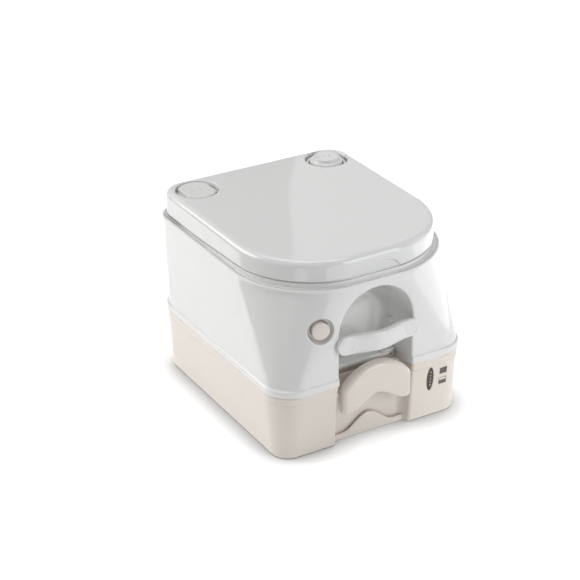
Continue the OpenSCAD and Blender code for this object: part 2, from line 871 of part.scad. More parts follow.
module hinge_lug(x) {
  translate([x, hinge_y, hinge_z]) rotate([0, 90, 0]) cylinder(r = knuckle_r, h = ear_w);
  translate([x, hinge_y - knuckle_r, rim_z - band_h / 2])
    cube([ear_w, 2 * knuckle_r, hinge_z - rim_z + band_h / 2]);
}

// Deck with its hinge lugs: openings for the bowl, the filler neck and the pump
module bowl_deck() {
  color(white) difference() {
    union() {
      body_plate(deck_under_z, band_h, band_inset, rim_front_r, rim_rear_r);
      for (s = [-1, 1], x = [hinge_x0, hinge_x3]) hinge_lug(s > 0 ? x : -x - ear_w);
    }
    loft(bowl_rings(0, over));
    translate([-cap_x, cap_y, deck_under_z - over]) cylinder(r = fill_flange_r - fill_flange_seat, h = band_h + 2 * over);
    translate([cap_x, cap_y, deck_under_z - over]) cylinder(r = pump_tube_r + loose, h = band_h + 2 * over);
    translate([-hinge_x3 - ear_w - over, hinge_y, hinge_z]) rotate([0, 90, 0])
      cylinder(r = pin_r + run, h = 2 * (hinge_x3 + ear_w + over));
  }
}

// Bowl: its upper edge meets the underside of the deck
module bowl() {
  color(white) difference() {
    union() {
      loft(bowl_rings(bowl_wall, deck_under_z - rim_z));
      translate([0, port_y, neck_z]) cylinder(r = neck_outer_r, h = bowl_low_z - neck_z + over);
    }
    loft(bowl_rings(0, over));
    translate([0, port_y, neck_z - over]) cylinder(r = port_r, h = bowl_low_z - neck_z + 2 * over);
    translate([-nozzle_w / 2 - loose, port_y + bowl_b * slot_start_share, flush_z - nozzle_h / 2 - loose])
      cube([nozzle_w + 2 * loose, bowl_b * slot_run_share, nozzle_h + 2 * loose]);
  }
}

// Filler neck: a tube whose flange stands on the deck
module filler_neck() {
  color(white) at_filler() {
    ring(fill_neck_r, fill_bore_r, rim_z, fill_neck_h);
    ring(fill_flange_r, fill_neck_r - over, rim_z, fill_flange_t);
  }
}

// Front face of the flush tank behind the carry handle
carry_face_y = -body_d / 2 + wall_inset;

function carry_out_y(x) = carry_face_y - slip - carry_pad_t - carry_bow * hump(x / carry_reach);
function carry_in_y(x) = min(carry_face_y - slip, carry_out_y(x) + carry_mid_t);

// Section of the bar at x: flat at the back, rounded at the front, lower towards the round ends
function carry_section(x) =
  let (
    r = carry_h / 2,
    past = max(0, abs(x) - (carry_l / 2 - r)),
    half = sqrt(max(0, r * r - past * past)),
    edge = min(carry_edge, half * carry_edge_share),
    front = carry_out_y(x) + carry_edge * pow(past / r, 4),
    back = carry_in_y(x)
  ) concat(
    [[back, carry_z + half], [front + edge, carry_z + half]],
    [for (a = [30, 60, 90]) [front + edge * (1 - sin(a)), carry_z + half - edge * (1 - cos(a))]],
    [for (a = [90, 60, 30]) [front + edge * (1 - sin(a)), carry_z - half + edge * (1 - cos(a))]],
    [[front + edge, carry_z - half], [back, carry_z - half]]
  );

module carry_handle() {
  half = carry_l / 2;
  r = carry_h / 2;
  bends = 16;
  // Places along the bar: close together round the ends
  places = concat(
    [for (a = [82:-16:2]) -half + r - r * sin(a)],
    [for (i = [0:bends]) (half - r) * (2 * i / bends - 1)],
    [for (a = [2:16:82]) half - r + r * sin(a)]
  );
  color(white) {
    // Sections stand across the bar: their points are y and z
    rotate([90, 0, 90]) loft([for (x = places) [x, carry_section(x)]]);
    for (s = [-1, 1]) translate([s * peg_x, 0, 0])
      lying_cylinder(peg_r, carry_face_y - slip - carry_pad_t / 2, carry_face_y + peg_l, carry_z);
  }
}

// Pump

module at_pump() {
  translate([cap_x, cap_y, 0]) children();
}

module pump_body() {
  color(white) at_pump() difference() {
    union() {
      ring(pump_flange_r, 0, rim_z, pump_flange_t);
      translate([0, 0, rim_z - pump_depth]) cylinder(r = pump_tube_r, h = pump_depth + over);
    }
    translate([0, 0, rim_z - pump_depth + pump_tube_wall])
      cylinder(r = pump_tube_r - pump_tube_wall, h = pump_depth + pump_flange_t);
    translate([0, 0, rim_z - pump_depth - over]) cylinder(r = pickup_r + loose, h = pump_tube_wall + 2 * over);
    translate([-pump_tube_r - over, 0, flush_z]) rotate([0, 90, 0])
      cylinder(r = flush_r + loose, h = pump_tube_r);
  }
}

module pump_collar() {
  inner = pump_r + collar_gap;
  outer = inner + collar_wall;
  color(white) at_pump() {
    ring(outer, inner, rim_z + pump_flange_t, collar_h);
    for (i = [0:collar_ribs - 1]) rotate(360 * i / collar_ribs)
      translate([outer - collar_rib / 2, -collar_rib / 2, rim_z + pump_flange_t]) cube([collar_rib, collar_rib, collar_h - collar_rib]);
  }
}

module pump_bellows() {
  low = rim_z + pump_flange_t;
  high = pump_cap_low_z + bellows_t;
  n = 2 * bellows_pleats;
  color(black) at_pump() rotate_extrude() polygon(concat(
    [for (i = [0:n]) [bellows_r - (i % 2) * bellows_fold, low + (high - low) * i / n]],
    [for (i = [n:-1:0]) [bellows_r - bellows_t - (i % 2) * bellows_fold, low + (high - low) * i / n]]
  ));
}

module pump_button() {
  shoulder_z = pump_top_z - pump_step_h;
  color(white) at_pump() difference() {
    union() {
      translate([0, 0, pump_cap_low_z]) cylinder(r = pump_r, h = shoulder_z - pump_cap_low_z - over);
      translate([0, 0, shoulder_z - over]) cylinder(r1 = pump_r, r2 = pump_r - over, h = over);
      translate([0, 0, shoulder_z - over]) cylinder(r = pump_step_r, h = pump_step_h);
      translate([0, 0, pump_top_z - over]) cylinder(r1 = pump_step_r, r2 = pump_step_r - over, h = over);
    }
    translate([0, 0, pump_cap_low_z - over])
      cylinder(r = bellows_r + slip, h = shoulder_z - wall - pump_cap_low_z + over);
  }
}

module pickup_tube() {
  low = seam_z + plate_t + pickup_gap;
  high = rim_z - pump_depth + pump_tube_wall + over;
  color(grey) at_pump() difference() {
    translate([0, 0, low]) cylinder(r = pickup_r, h = high - low);
    translate([0, 0, low - over]) cylinder(r = pickup_r / 2, h = high - low + 2 * over);
  }
}

// Where the flush pipe leaves the pump and where it meets the nozzle
flush_start = [cap_x - pump_tube_r + pump_tube_wall, cap_y, flush_z];
flush_bend = [0, cap_y, flush_z];
nozzle_y = port_y + bowl_radius(bowl_low_r, bowl_b, (flush_z - bowl_low_z) / (rim_z - bowl_low_z));
flush_end = [0, nozzle_y + nozzle_d + slip, flush_z];

// Straight level pipe from a to b
module pipe_run(a, b, r) {
  d = b - a;
  translate(a) rotate([0, 90, atan2(d.y, d.x)]) cylinder(r = r, h = norm(d));
}

module flush_tube() {
  color(grey) {
    pipe_run(flush_start, flush_bend, flush_r);
    translate(flush_bend - [0, 0, elbow_r]) cylinder(r = elbow_r, h = 2 * elbow_r);
    pipe_run(flush_bend, flush_end, flush_r);
  }
}

module flush_nozzle() {
  color(white) difference() {
    translate([-nozzle_w / 2, nozzle_y - nozzle_d / 2, flush_z - nozzle_h / 2])
      cube([nozzle_w, nozzle_d * nozzle_run_share, nozzle_h]);
    // Wide flat mouth, fed by a bore from the back
    translate([-nozzle_w * mouth_w_share / 2, nozzle_y - nozzle_d, flush_z - nozzle_h * mouth_low_share])
      cube([nozzle_w * mouth_w_share, nozzle_d * nozzle_run_share, nozzle_h * mouth_h_share]);
    lying_cylinder(flush_r * mouth_bore_share, nozzle_y, nozzle_y + nozzle_d + over, flush_z);
  }
}

// Filler cap

module at_filler() {
  translate([-cap_x, cap_y, 0]) children();
}

module fill_gasket() {
  color(black) at_filler() ring(fill_neck_r, fill_bore_r + slip, rim_z + fill_neck_h + slip, gasket_t);
}

module fill_cap() {
  under = fill_cap_top_z - fill_cap_t;
  color(white) at_filler() difference() {
    union() {
      translate([0, 0, under]) cylinder(r = fill_cap_r, h = fill_cap_t - over);
      translate([0, 0, fill_cap_top_z - over]) cylinder(r1 = fill_cap_r, r2 = fill_cap_r - over, h = over);
      translate([0, 0, under - fill_skirt_h]) cylinder(r = fill_skirt_r, h = fill_skirt_h + over);
    }
    translate([0, 0, under - fill_skirt_h - over])
      cylinder(r = fill_neck_r + slip, h = rim_z + fill_neck_h + 2 * slip + gasket_t - under + fill_skirt_h + over);
    // Steps for the fingers on both sides of the raised middle
    translate([0, 0, fill_cap_top_z - scoop_depth]) linear_extrude(scoop_depth + over) difference() {
      square(2 * (fill_cap_r + wall), center = true);
      square(2 * [scoop_bar_hw, fill_cap_r + 2 * wall], center = true);
    }
  }
}

// Latch

module latch_button() {
  color(beige) in_latch_frame() {
    lying_cylinder(latch_r - over, 0, over, latch_z);
    lying_cylinder(latch_r, over / 2, latch_body_t, latch_z);
    lying_cylinder(latch_stem_r, latch_body_t - over, latch_bar_v, latch_z);
  }
}

module latch_hook() {
  color(grey) in_latch_frame() {
    translate([-latch_bar_w / 2, latch_bar_v, latch_hook_z])
      cube([latch_bar_w, latch_bar_t, latch_z + latch_stem_r * latch_over_share - latch_hook_z]);
    translate([-latch_bar_w / 2, latch_nose_v, latch_hook_z])
      cube([latch_bar_w, latch_bar_v - latch_nose_v + over, latch_hook_h]);
  }
}

module latch_spring() {
  rings = 12 * spring_turns;
  sides = 6;
  v0 = latch_body_t + spring_wire + slip;
  v1 = latch_cup - spring_wire - slip;
  points = [for (k = [0:rings], j = [0:sides - 1])
    let (t = 360 * spring_turns * k / rings, p = 360 * j / sides, r = spring_r + spring_wire * cos(p))
    [r * cos(t), v0 + (v1 - v0) * k / rings + spring_wire * sin(p), latch_z + r * sin(t)]];
  skin = [for (k = [0:rings - 1], j = [0:sides - 1], half = [0, 1])
    let (m = (j + 1) % sides, a = k * sides, b = a + sides)
    half == 0 ? [a + j, a + m, b + m] : [a + j, b + m, b + j]];
  color(steel) in_latch_frame() polyhedron(points, concat(
    [[for (j = [sides - 1:-1:0]) j]], skin, [[for (j = [0:sides - 1]) rings * sides + j]]));
}

// Hinge, seat and lid

module hinge_pins() {
  color(steel) for (s = [-1, 1]) translate([s > 0 ? hinge_x0 : -hinge_x3 - ear_w - pin_over, hinge_y, hinge_z])
    rotate([0, 90, 0]) cylinder(r = pin_r, h = hinge_x3 + ear_w - hinge_x0 + pin_over);
}

// Corner-rounded slab of a plan, with softened upper and lower edges
module soft_slab(hw, front, back, rf, rb, z0, z1, edge) {
  function section(z, inset) = [z, plan_points(hw - inset, front + inset, back - inset, rf - inset, rb - inset)];
  loft([
    section(z0, edge), section(z0 + edge * soft_share, edge * soft_share), section(z0 + edge, 0),
    section(z1 - edge, 0), section(z1 - edge * soft_share, edge * soft_share), section(z1, edge)
  ]);
}

module seat() {
  low = seat_z;
  arm_z0 = hinge_z - knuckle_r + slip;
  color(white) difference() {
    union() {
      soft_slab(seat_hw, seat_front_y, seat_back_y, seat_front_r, seat_rear_r, low, low + seat_t, seat_edge);
      for (s = [-1, 1]) {
        x = s > 0 ? hinge_x1 : -hinge_x1 - ear_w;
        translate([x, hinge_y, hinge_z]) rotate([0, 90, 0]) cylinder(r = knuckle_r - slip, h = ear_w);
        translate([x, seat_back_y - seat_edge * 2, arm_z0])
          cube([ear_w, hinge_y - seat_back_y + seat_edge * 2, 2 * (knuckle_r - slip)]);
      }
    }
    translate([0, 0, low - over]) linear_extrude(seat_t + 2 * over) polygon(ellipse_points(seat_a, seat_b));
    translate([-body_w / 2, hinge_y, hinge_z]) rotate([0, 90, 0]) cylinder(r = pin_r + run, h = body_w);
  }
}

seat_buffer_places = [for (s = [-1, 1], y = [seat_back_y - seat_buffer_back, seat_front_y + seat_buffer_front])
  [s * seat_hw * buffer_x_share, y]];

module seat_buffers() {
  color(black) for (p = seat_buffer_places) translate([p.x, p.y, rim_z + slip])
    cylinder(r = buffer_r, h = seat_z - rim_z - slip);
}

// Skirt, rounded edge and crown of the lid
lid_sections = concat(
  [[lid_z, lid_inset]],
  [for (a = [0:22.5:90]) [lid_top_z - lid_edge_r * (1 - sin(a)), lid_inset + lid_edge_r * (1 - cos(a))]],
  [for (u = [0.25, 0.55, 1]) [lid_top_z + lid_crown * (1 - pow(1 - u, 2)), lid_inset + lid_edge_r + lid_crown_run * u]]
);

function lid_plan(inset) = body_plan(inset,
  max(lid_front_r - inset + lid_inset, lid_rear_r / 2), max(lid_rear_r - inset + lid_inset, lid_rear_r / 4));

module lid() {
  under = lid_top_z - lid_t;
  ear_x = [hinge_x2, -hinge_x2 - ear_w];
  steps = 16;
  color(white) difference() {
    union() {
      difference() {
        loft([for (s = lid_sections) [s[0], lid_plan(s[1])]]);
        loft([
          [lid_z - over, lid_plan(lid_inset + lid_t)],
          [under - lid_edge_r / 2, lid_plan(lid_inset + lid_t)],
          [under, lid_plan(lid_inset + lid_edge_r * lid_inner_share)]
        ]);
        // Room for the hinge knuckles in the rear skirt
        for (s = [-1, 1]) translate([s > 0 ? hinge_x0 - wall : -hinge_x3 - ear_w - wall, hinge_y - knuckle_r, lid_z - over])
          cube([hinge_x3 + ear_w - hinge_x0 + 2 * wall, body_d, window_top + over]);
      }
      for (x = ear_x) {
        translate([x, hinge_y, hinge_z]) rotate([0, 90, 0]) cylinder(r = knuckle_r - slip, h = ear_w);
        translate([x, hinge_y - knuckle_r + slip, hinge_z])
          cube([ear_w, lid_ear_back_y - hinge_y + knuckle_r - slip, under - hinge_z + over]);
      }
    }
    for (s = [-1, 1]) translate([s * cap_x, cap_y, under - over]) cylinder(r = lid_hole_r, h = lid_t + lid_crown + 2 * over);
    translate([-body_w / 2, hinge_y, hinge_z]) rotate([0, 90, 0]) cylinder(r = pin_r + run, h = body_w);
    // Finger notch in the front of the skirt
    translate([0, -body_d / 2 + lid_inset + lid_edge_r, lid_z]) rotate([90, 0, 0]) linear_extrude(2 * lid_edge_r)
      polygon(concat([[notch_hw, -over], [-notch_hw, -over]],
        [for (i = [0:steps]) let (u = 2 * i / steps - 1) [u * notch_hw, notch_h * hump(u)]]));
  }
}

lid_buffer_places = [for (s = [-1, 1], y = [seat_back_y - lid_buffer_back, seat_front_y + lid_buffer_front])
  [s * seat_hw * buffer_x_share, y]];

module lid_buffers() {
  low = seat_z + seat_t + slip;
  color(black) for (p = lid_buffer_places) translate([p.x, p.y, low]) cylinder(r = buffer_r - over, h = lid_top_z - lid_t - low);
}

holding_tank();
valve_base();
valve_cover();
valve_screws();
lip_seal();
grip_lip();
level_window();
spout_oring();
valve_blade();
valve_handle();
handle_screws();
spout();
cap_gasket();
spout_cap();
water_tank();
bowl_deck();
bowl();
filler_neck();
carry_handle();
pump_body();
pump_collar();
pump_bellows();
pump_button();
pickup_tube();
flush_tube();
flush_nozzle();
fill_gasket();
fill_cap();
latch_button();
latch_hook();
latch_spring();
hinge_pins();
seat();
seat_buffers();
lid();
lid_buffers();
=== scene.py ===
import json
import math

import bmesh
import bpy
import numpy as np
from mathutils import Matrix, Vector
from mathutils.geometry import delaunay_2d_cdt


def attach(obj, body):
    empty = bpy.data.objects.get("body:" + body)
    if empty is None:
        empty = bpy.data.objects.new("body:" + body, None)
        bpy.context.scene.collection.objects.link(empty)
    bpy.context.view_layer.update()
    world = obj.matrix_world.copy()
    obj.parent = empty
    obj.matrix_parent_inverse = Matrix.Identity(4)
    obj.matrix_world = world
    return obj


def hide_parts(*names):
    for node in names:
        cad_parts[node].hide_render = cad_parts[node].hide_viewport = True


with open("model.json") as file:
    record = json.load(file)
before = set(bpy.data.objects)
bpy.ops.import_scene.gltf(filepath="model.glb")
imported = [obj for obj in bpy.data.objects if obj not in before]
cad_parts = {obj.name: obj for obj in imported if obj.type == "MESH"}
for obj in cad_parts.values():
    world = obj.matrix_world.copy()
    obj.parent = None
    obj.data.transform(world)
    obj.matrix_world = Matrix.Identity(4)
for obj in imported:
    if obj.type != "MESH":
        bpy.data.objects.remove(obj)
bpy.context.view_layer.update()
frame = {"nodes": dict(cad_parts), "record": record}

# Sizes of the object in millimetres: middle of the footprint at 0, front towards -Y.
MM = 0.001
WIDTH, DEPTH = 333.0, 380.0
HALF_W, HALF_D = WIDTH / 2, DEPTH / 2
SEAM, RIM = 105.0, 262.0
FOOT_R, RIM_FRONT_R, RIM_REAR_R = 45.0, 126.0, 36.0
PORT_Y = -14.0
ARCH_R, ARCH_TOP, ARCH_BACK_Y = 62.5, 248.0, -127.3
ARCH_Z = ARCH_TOP - ARCH_R
LEDGE_TOP = 117.0
RECESS_HW, RECESS_BACK_Y, RECESS_R = 64.0, -163.0, 12.0
NOTCH_LEFT, NOTCH_RIGHT, NOTCH_Y, NOTCH_R, NOTCH_Z = -80.0, 100.0, 136.0, 10.0, 38.0
LATCH_X, LATCH_Y, LATCH_Z, LATCH_TURN = -92.0, -184.629, 200.0, math.radians(13.6872)
HINGE_Y, HINGE_Z, HINGE_WIDE, HINGE_SOFT = 176.0, 272.0, 7.0, 0.7
CAP_X, CAP_Y = 115.0, 140.0
LID_TOP = 302.5
PIVOT_X, PIVOT_Y = 62.0, 163.0
WINDOW_X, WINDOW_Z = 98.5, 67.5


# Finishes

def socket_group(name, inputs, outputs):
    """Empty shader group with the named inputs (name, kind, value) and outputs (name, kind)."""
    group = bpy.data.node_groups.new(name, "ShaderNodeTree")
    for label, kind, value in inputs:
        made = group.interface.new_socket(name=label, in_out="INPUT", socket_type=kind)
        made.default_value = value
    for label, kind in outputs:
        group.interface.new_socket(name=label, in_out="OUTPUT", socket_type=kind)
    return group, group.nodes.new("NodeGroupInput"), group.nodes.new("NodeGroupOutput")


def moulded_skin():
    """Skin of a moulding: soft shifts of tone, an uneven gloss and the fine peel of a moulded face."""
    group, given, out = socket_group("moulded_skin", [
        ("Colour", "NodeSocketColor", (0.8, 0.8, 0.8, 1)),
        ("Tone shift", "NodeSocketFloat", 0.03),
        ("Gloss", "NodeSocketFloat", 0.25),
        ("Gloss shift", "NodeSocketFloat", 0.06),
        ("Peel", "NodeSocketFloat", 0.05),
        ("Peel scale", "NodeSocketFloat", 420.0),
    ], [("Colour", "NodeSocketColor"), ("Roughness", "NodeSocketFloat"), ("Height", "NodeSocketFloat")])
    n, link = group.nodes, group.links.new
    place = n.new("ShaderNodeTexCoord")
    tone = n.new("ShaderNodeTexNoise")
    tone.inputs["Scale"].default_value = 9.0
    tone.inputs["Detail"].default_value = 4.0
    link(place.outputs["Object"], tone.inputs["Vector"])
    shift = n.new("ShaderNodeMapRange")
    shift.inputs["From Min"].default_value = 0.3
    shift.inputs["From Max"].default_value = 0.7
    link(tone.outputs["Fac"], shift.inputs["Value"])
    darker = n.new("ShaderNodeMath")
    darker.operation = "MULTIPLY"
    link(shift.outputs["Result"], darker.inputs[0])
    link(given.outputs["Tone shift"], darker.inputs[1])
    value = n.new("ShaderNodeMath")
    value.operation = "SUBTRACT"
    value.inputs[0].default_value = 1.0
    link(darker.outputs[0], value.inputs[1])
    hue = n.new("ShaderNodeHueSaturation")
    link(given.outputs["Colour"], hue.inputs["Color"])
    link(value.outputs[0], hue.inputs["Value"])
    link(hue.outputs["Color"], out.inputs["Colour"])
    rub = n.new("ShaderNodeTexNoise")
    rub.inputs["Scale"].default_value = 34.0
    rub.inputs["Detail"].default_value = 6.0
    link(place.outputs["Object"], rub.inputs["Vector"])
    gloss = n.new("ShaderNodeMath")
    gloss.operation = "MULTIPLY_ADD"
    link(rub.outputs["Fac"], gloss.inputs[0])
    link(given.outputs["Gloss shift"], gloss.inputs[1])
    link(given.outputs["Gloss"], gloss.inputs[2])
    link(gloss.outputs[0], out.inputs["Roughness"])
    peel = n.new("ShaderNodeTexNoise")
    peel.inputs["Detail"].default_value = 2.0
    link(place.outputs["Object"], peel.inputs["Vector"])
    link(given.outputs["Peel scale"], peel.inputs["Scale"])
    height = n.new("ShaderNodeMath")
    height.operation = "MULTIPLY"
    link(peel.outputs["Fac"], height.inputs[0])
    link(given.outputs["Peel"], height.inputs[1])
    link(height.outputs[0], out.inputs["Height"])
    return group


SKIN = moulded_skin()


def moulding(name, colour, gloss, tone=0.03, gloss_shift=0.06, peel=0.05, coat=0.0, metallic=0.0):
    """Finish of one moulding colour, with the moulded skin over it."""
    made = bpy.data.materials.new(name)
    made.use_nodes = True
    n, link = made.node_tree.nodes, made.node_tree.links.new
    shader = n["Principled BSDF"]
    shader.inputs["Metallic"].default_value = metallic
    shader.inputs["Coat Weight"].default_value = coat
    shader.inputs["Coat Roughness"].default_value = 0.03
    skin = n.new("ShaderNodeGroup")
    skin.node_tree = SKIN
    skin.inputs["Colour"].default_value = (*colour, 1)
    skin.inputs["Tone shift"].default_value = tone
    skin.inputs["Gloss"].default_value = gloss
    skin.inputs["Gloss shift"].default_value = gloss_shift
    skin.inputs["Peel"].default_value = peel
    bump = n.new("ShaderNodeBump")
    bump.inputs["Distance"].default_value = 0.0004
    bump.inputs["Strength"].default_value = 0.5
    link(skin.outputs["Colour"], shader.inputs["Base Color"])
    link(skin.outputs["Roughness"], shader.inputs["Roughness"])
    link(skin.outputs["Height"], bump.inputs["Height"])
    link(bump.outputs["Normal"], shader.inputs["Normal"])
    return made


white_gloss = moulding(
    "white_gloss", (0.80, 0.80, 0.785), 0.05, tone=0.015, gloss_shift=0.015, peel=0.012, coat=0.6)
lid_white = moulding(
    "lid_white", (0.775, 0.775, 0.765), 0.05, tone=0.012, gloss_shift=0.02, peel=0.01, coat=0.5)
beige_gloss = moulding(
    "beige_gloss", (0.785, 0.722, 0.655), 0.08, tone=0.02, gloss_shift=0.02, peel=0.02, coat=0.5)
grey_plastic = moulding("grey_plastic", (0.26, 0.26, 0.27), 0.4)
smoke_window = moulding("smoke_window", (0.075, 0.048, 0.034), 0.2, tone=0.25, coat=0.2)
prism_grey = moulding("prism_grey", (0.42, 0.39, 0.37), 0.3)
pictogram_ink = moulding("pictogram_ink", (0.125, 0.12, 0.115), 0.45, tone=0.1)
# Painted shade: dark brown for flat marks that stand for a hole and a corner lying in shade
painted_gap_shade = moulding("painted_gap_shade", (0.13, 0.09, 0.065), 0.5)
# Painted shade: dark beige for the strip under the ledge that lies in shade
painted_shade_beige = moulding("painted_shade_beige", (0.42, 0.36, 0.30), 0.3)
rubber = moulding("rubber", (0.02, 0.02, 0.02), 0.6, peel=0.2)
steel = moulding("steel", (0.55, 0.55, 0.56), 0.3, metallic=1.0)
SLOT_FINISH = {
    "white_gloss": white_gloss, "beige_gloss": beige_gloss, "grey_plastic": grey_plastic,
    "smoke_window": smoke_window, "rubber": rubber, "steel": steel}

# Finish, body and slot of the pieces on each body
ON_FLUSH_TANK = {"finish": white_gloss, "body": "flush_tank", "slot": "white_gloss"}
ON_HOLDING_TANK = {"finish": beige_gloss, "body": "holding_tank", "slot": "beige_gloss"}
ON_VALVE = {"finish": beige_gloss, "body": "valve", "slot": "beige_gloss"}
ON_LID = {"finish": lid_white, "body": "lid", "slot": "white_gloss"}
ON_SEAT = {"finish": white_gloss, "body": "seat", "slot": "white_gloss"}
ON_FILL_CAP = {"finish": lid_white, "body": "fill_cap", "slot": "white_gloss"}
ON_PUMP = {"finish": lid_white, "body": "pump_button", "slot": "white_gloss"}
ON_LATCH = {"finish": beige_gloss, "body": "latch", "slot": "beige_gloss"}
RING_ON_FLUSH_TANK = {"finish": lid_white, "body": "flush_tank", "slot": "white_gloss"}
# Pieces of painted shade on the flush tank
SHADE_ON_FLUSH_TANK = {"finish": painted_gap_shade, "body": "flush_tank", "slot": "white_gloss"}


# Mesh tools

def add_mesh(name, points, faces, finish, body, stands_for=(), slot=None, merge=1e-6, outward=True):
    """One smooth object from points in millimetres and faces, with doubles merged and faces turned out."""
    mesh = bpy.data.meshes.new(name)
    mesh.from_pydata((np.asarray(points, float).reshape(-1, 3) * MM).tolist(), [], faces)
    work = bmesh.new()
    work.from_mesh(mesh)
    bmesh.ops.remove_doubles(work, verts=work.verts, dist=merge)
    bmesh.ops.dissolve_degenerate(work, edges=work.edges, dist=1e-7)
    if outward:
        bmesh.ops.recalc_face_normals(work, faces=work.faces)
    work.to_mesh(mesh)
    work.free()
    mesh.polygons.foreach_set("use_smooth", np.ones(len(mesh.polygons), bool))
    mesh.materials.append(finish)
    piece = bpy.data.objects.new(name, mesh)
    bpy.context.scene.collection.objects.link(piece)
    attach(piece, body)
    if stands_for:
        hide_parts(*stands_for)
    return piece


def grid_faces(rows, cols, closed_rows=False, closed_cols=False, start=0):
    """Quads of a grid of rows by cols points, counted from start."""
    r = np.arange(rows if closed_rows else rows - 1)[:, None]
    c = np.arange(cols if closed_cols else cols - 1)[None, :]
    r1, c1 = (r + 1) % rows, (c + 1) % cols
    quads = np.stack([r * cols + c, r * cols + c1, r1 * cols + c1, r1 * cols + c], -1)
    return (quads.reshape(-1, 4) + start).tolist()


def gather(parts):
    """Points and faces of several grids (points, closed_rows, closed_cols) as one set."""
    points, faces, start = [], [], 0
    for grid, closed_rows, closed_cols in parts:
        rows, cols = grid.shape[:2]
        faces += grid_faces(rows, cols, closed_rows, closed_cols, start)
        points.append(grid.reshape(-1, 3))
        start += rows * cols
    return np.concatenate(points), faces


def skin_of(name, parts, finish, body, **more):
    """Object from one or more grids of points."""
    points, faces = gather(parts)
    return add_mesh(name, points, faces, finish, body, **more)


def smooth(u):
    """Smooth step 3 u^2 - 2 u^3, which is 0 below u = 0 and 1 above u = 1."""
    u = np.clip(u, 0, 1)
    return u * u * (3 - 2 * u)


def hump(u):
    """Smooth hump of height 1 at 0 that ends at distance 1."""
    return (1 + np.cos(np.pi * np.minimum(1, np.abs(u)))) / 2


def turn_angles(n):
    """n angles spread evenly over one turn."""
    return np.linspace(0, 2 * np.pi, n, endpoint=False)


def fillet(n):
    """n + 1 pairs (cosine, sine) over a quarter turn."""
    a = np.radians(np.linspace(0, 90, n + 1))
    return np.stack([np.cos(a), np.sin(a)], -1)


def resample(path, count, closed=False):
    """Points spread evenly by length along a polyline."""
    path = np.asarray(path, float)
    if closed:
        path = np.concatenate([path, path[:1]])
    length = np.concatenate([[0], np.cumsum(np.linalg.norm(np.diff(path, axis=0), axis=1))])
    at = np.linspace(0, length[-1], count + 1)[:-1] if closed else np.linspace(0, length[-1], count)
    return np.stack([np.interp(at, length, path[:, k]) for k in range(path.shape[1])], -1)


def arc(cx, cy, r, a0, a1, n=24):
    """Points of a circular arc about (cx, cy) from angle a0 to a1 in degrees."""
    a = np.radians(np.linspace(a0, a1, n + 1))
    return np.stack([cx + r * np.cos(a), cy + r * np.sin(a)], -1)


def circle(cx, cy, r, n=72):
    """Closed circle of n points."""
    return arc(cx, cy, r, 0, 360, n)[:-1]


def ellipse(a, b, n=120, cy=PORT_Y):
    """Closed ellipse about the port's centre line."""
    t = turn_angles(n)
    return np.stack([a * np.cos(t), cy + b * np.sin(t)], -1)


def box(left, right, front, back):
    """Rectangle with square corners."""
    return [(left, front), (right, front), (right, back), (left, back)]


def plan_path(hw, front, back, rf, rb, n=24):
    """Closed plan from the front middle: straight sides, one radius at the front corners, one at the rear."""
    return np.concatenate([
        [[0, front]], arc(hw - rf, front + rf, rf, -90, 0, n), arc(hw - rb, back - rb, rb, 0, 90, n),
        arc(rb - hw, back - rb, rb, 90, 180, n), arc(rf - hw, front + rf, rf, 180, 270, n)])


def body_plan(inset, rf, rb, n=24):
    """The body's plan, standing in from the flange by inset."""
    return plan_path(HALF_W - inset, inset - HALF_D, HALF_D - inset, rf, rb, n)


def rings_to_grid(rings):
    """Stack of (height, plan points) as one grid."""
    return np.stack([np.column_stack([p, np.full(len(p), z)]) for z, p in rings])


def swept_band(name, profile, plan_of, **more):
    """Closed profile of (inset, height) pairs carried round the body's plan."""
    rings = [(z, resample(plan_of(inset), 360, True)) for inset, z in profile]
    return skin_of(name, [(rings_to_grid(rings), True, True)], **more)


def turned(profile, around):
    """Profile of (radius, height) pairs carried round a full turn: across, along and up as three grids."""
    a = turn_angles(around)
    p = np.asarray(profile, float)
    return p[:, :1] * np.cos(a), p[:, :1] * np.sin(a), np.repeat(p[:, 1:2], around, 1)


def lathe(name, profile, centre, closed=False, **more):
    """Profile of (radius, height) pairs turned about the upright axis through centre."""
    x, y, z = turned(profile, 96)
    return skin_of(name, [(np.stack([centre[0] + x, centre[1] + y, z], -1), closed, True)], **more)


def rounded_ring(r_in, r_out, low, high, soft=0.8):
    """Closed profile of an upright ring with rounded edges."""
    q = fillet(3)
    return np.concatenate([
        [(r_out - soft + soft * c, high - soft + soft * s) for c, s in q],
        [(r_in + soft - soft * s, high - soft + soft * c) for c, s in q],
        [(r_in + soft - soft * c, low + soft - soft * s) for c, s in q],
        [(r_out - soft + soft * s, low + soft - soft * c) for c, s in q]])


def flat_faces_lead(piece):
    """Shading normals that follow the large flat faces, so that only the rounded edges shade round."""
    weigh = piece.modifiers.new("flat_faces_lead", "WEIGHTED_NORMAL")
    weigh.keep_sharp = True
    weigh.weight = 80
    return piece


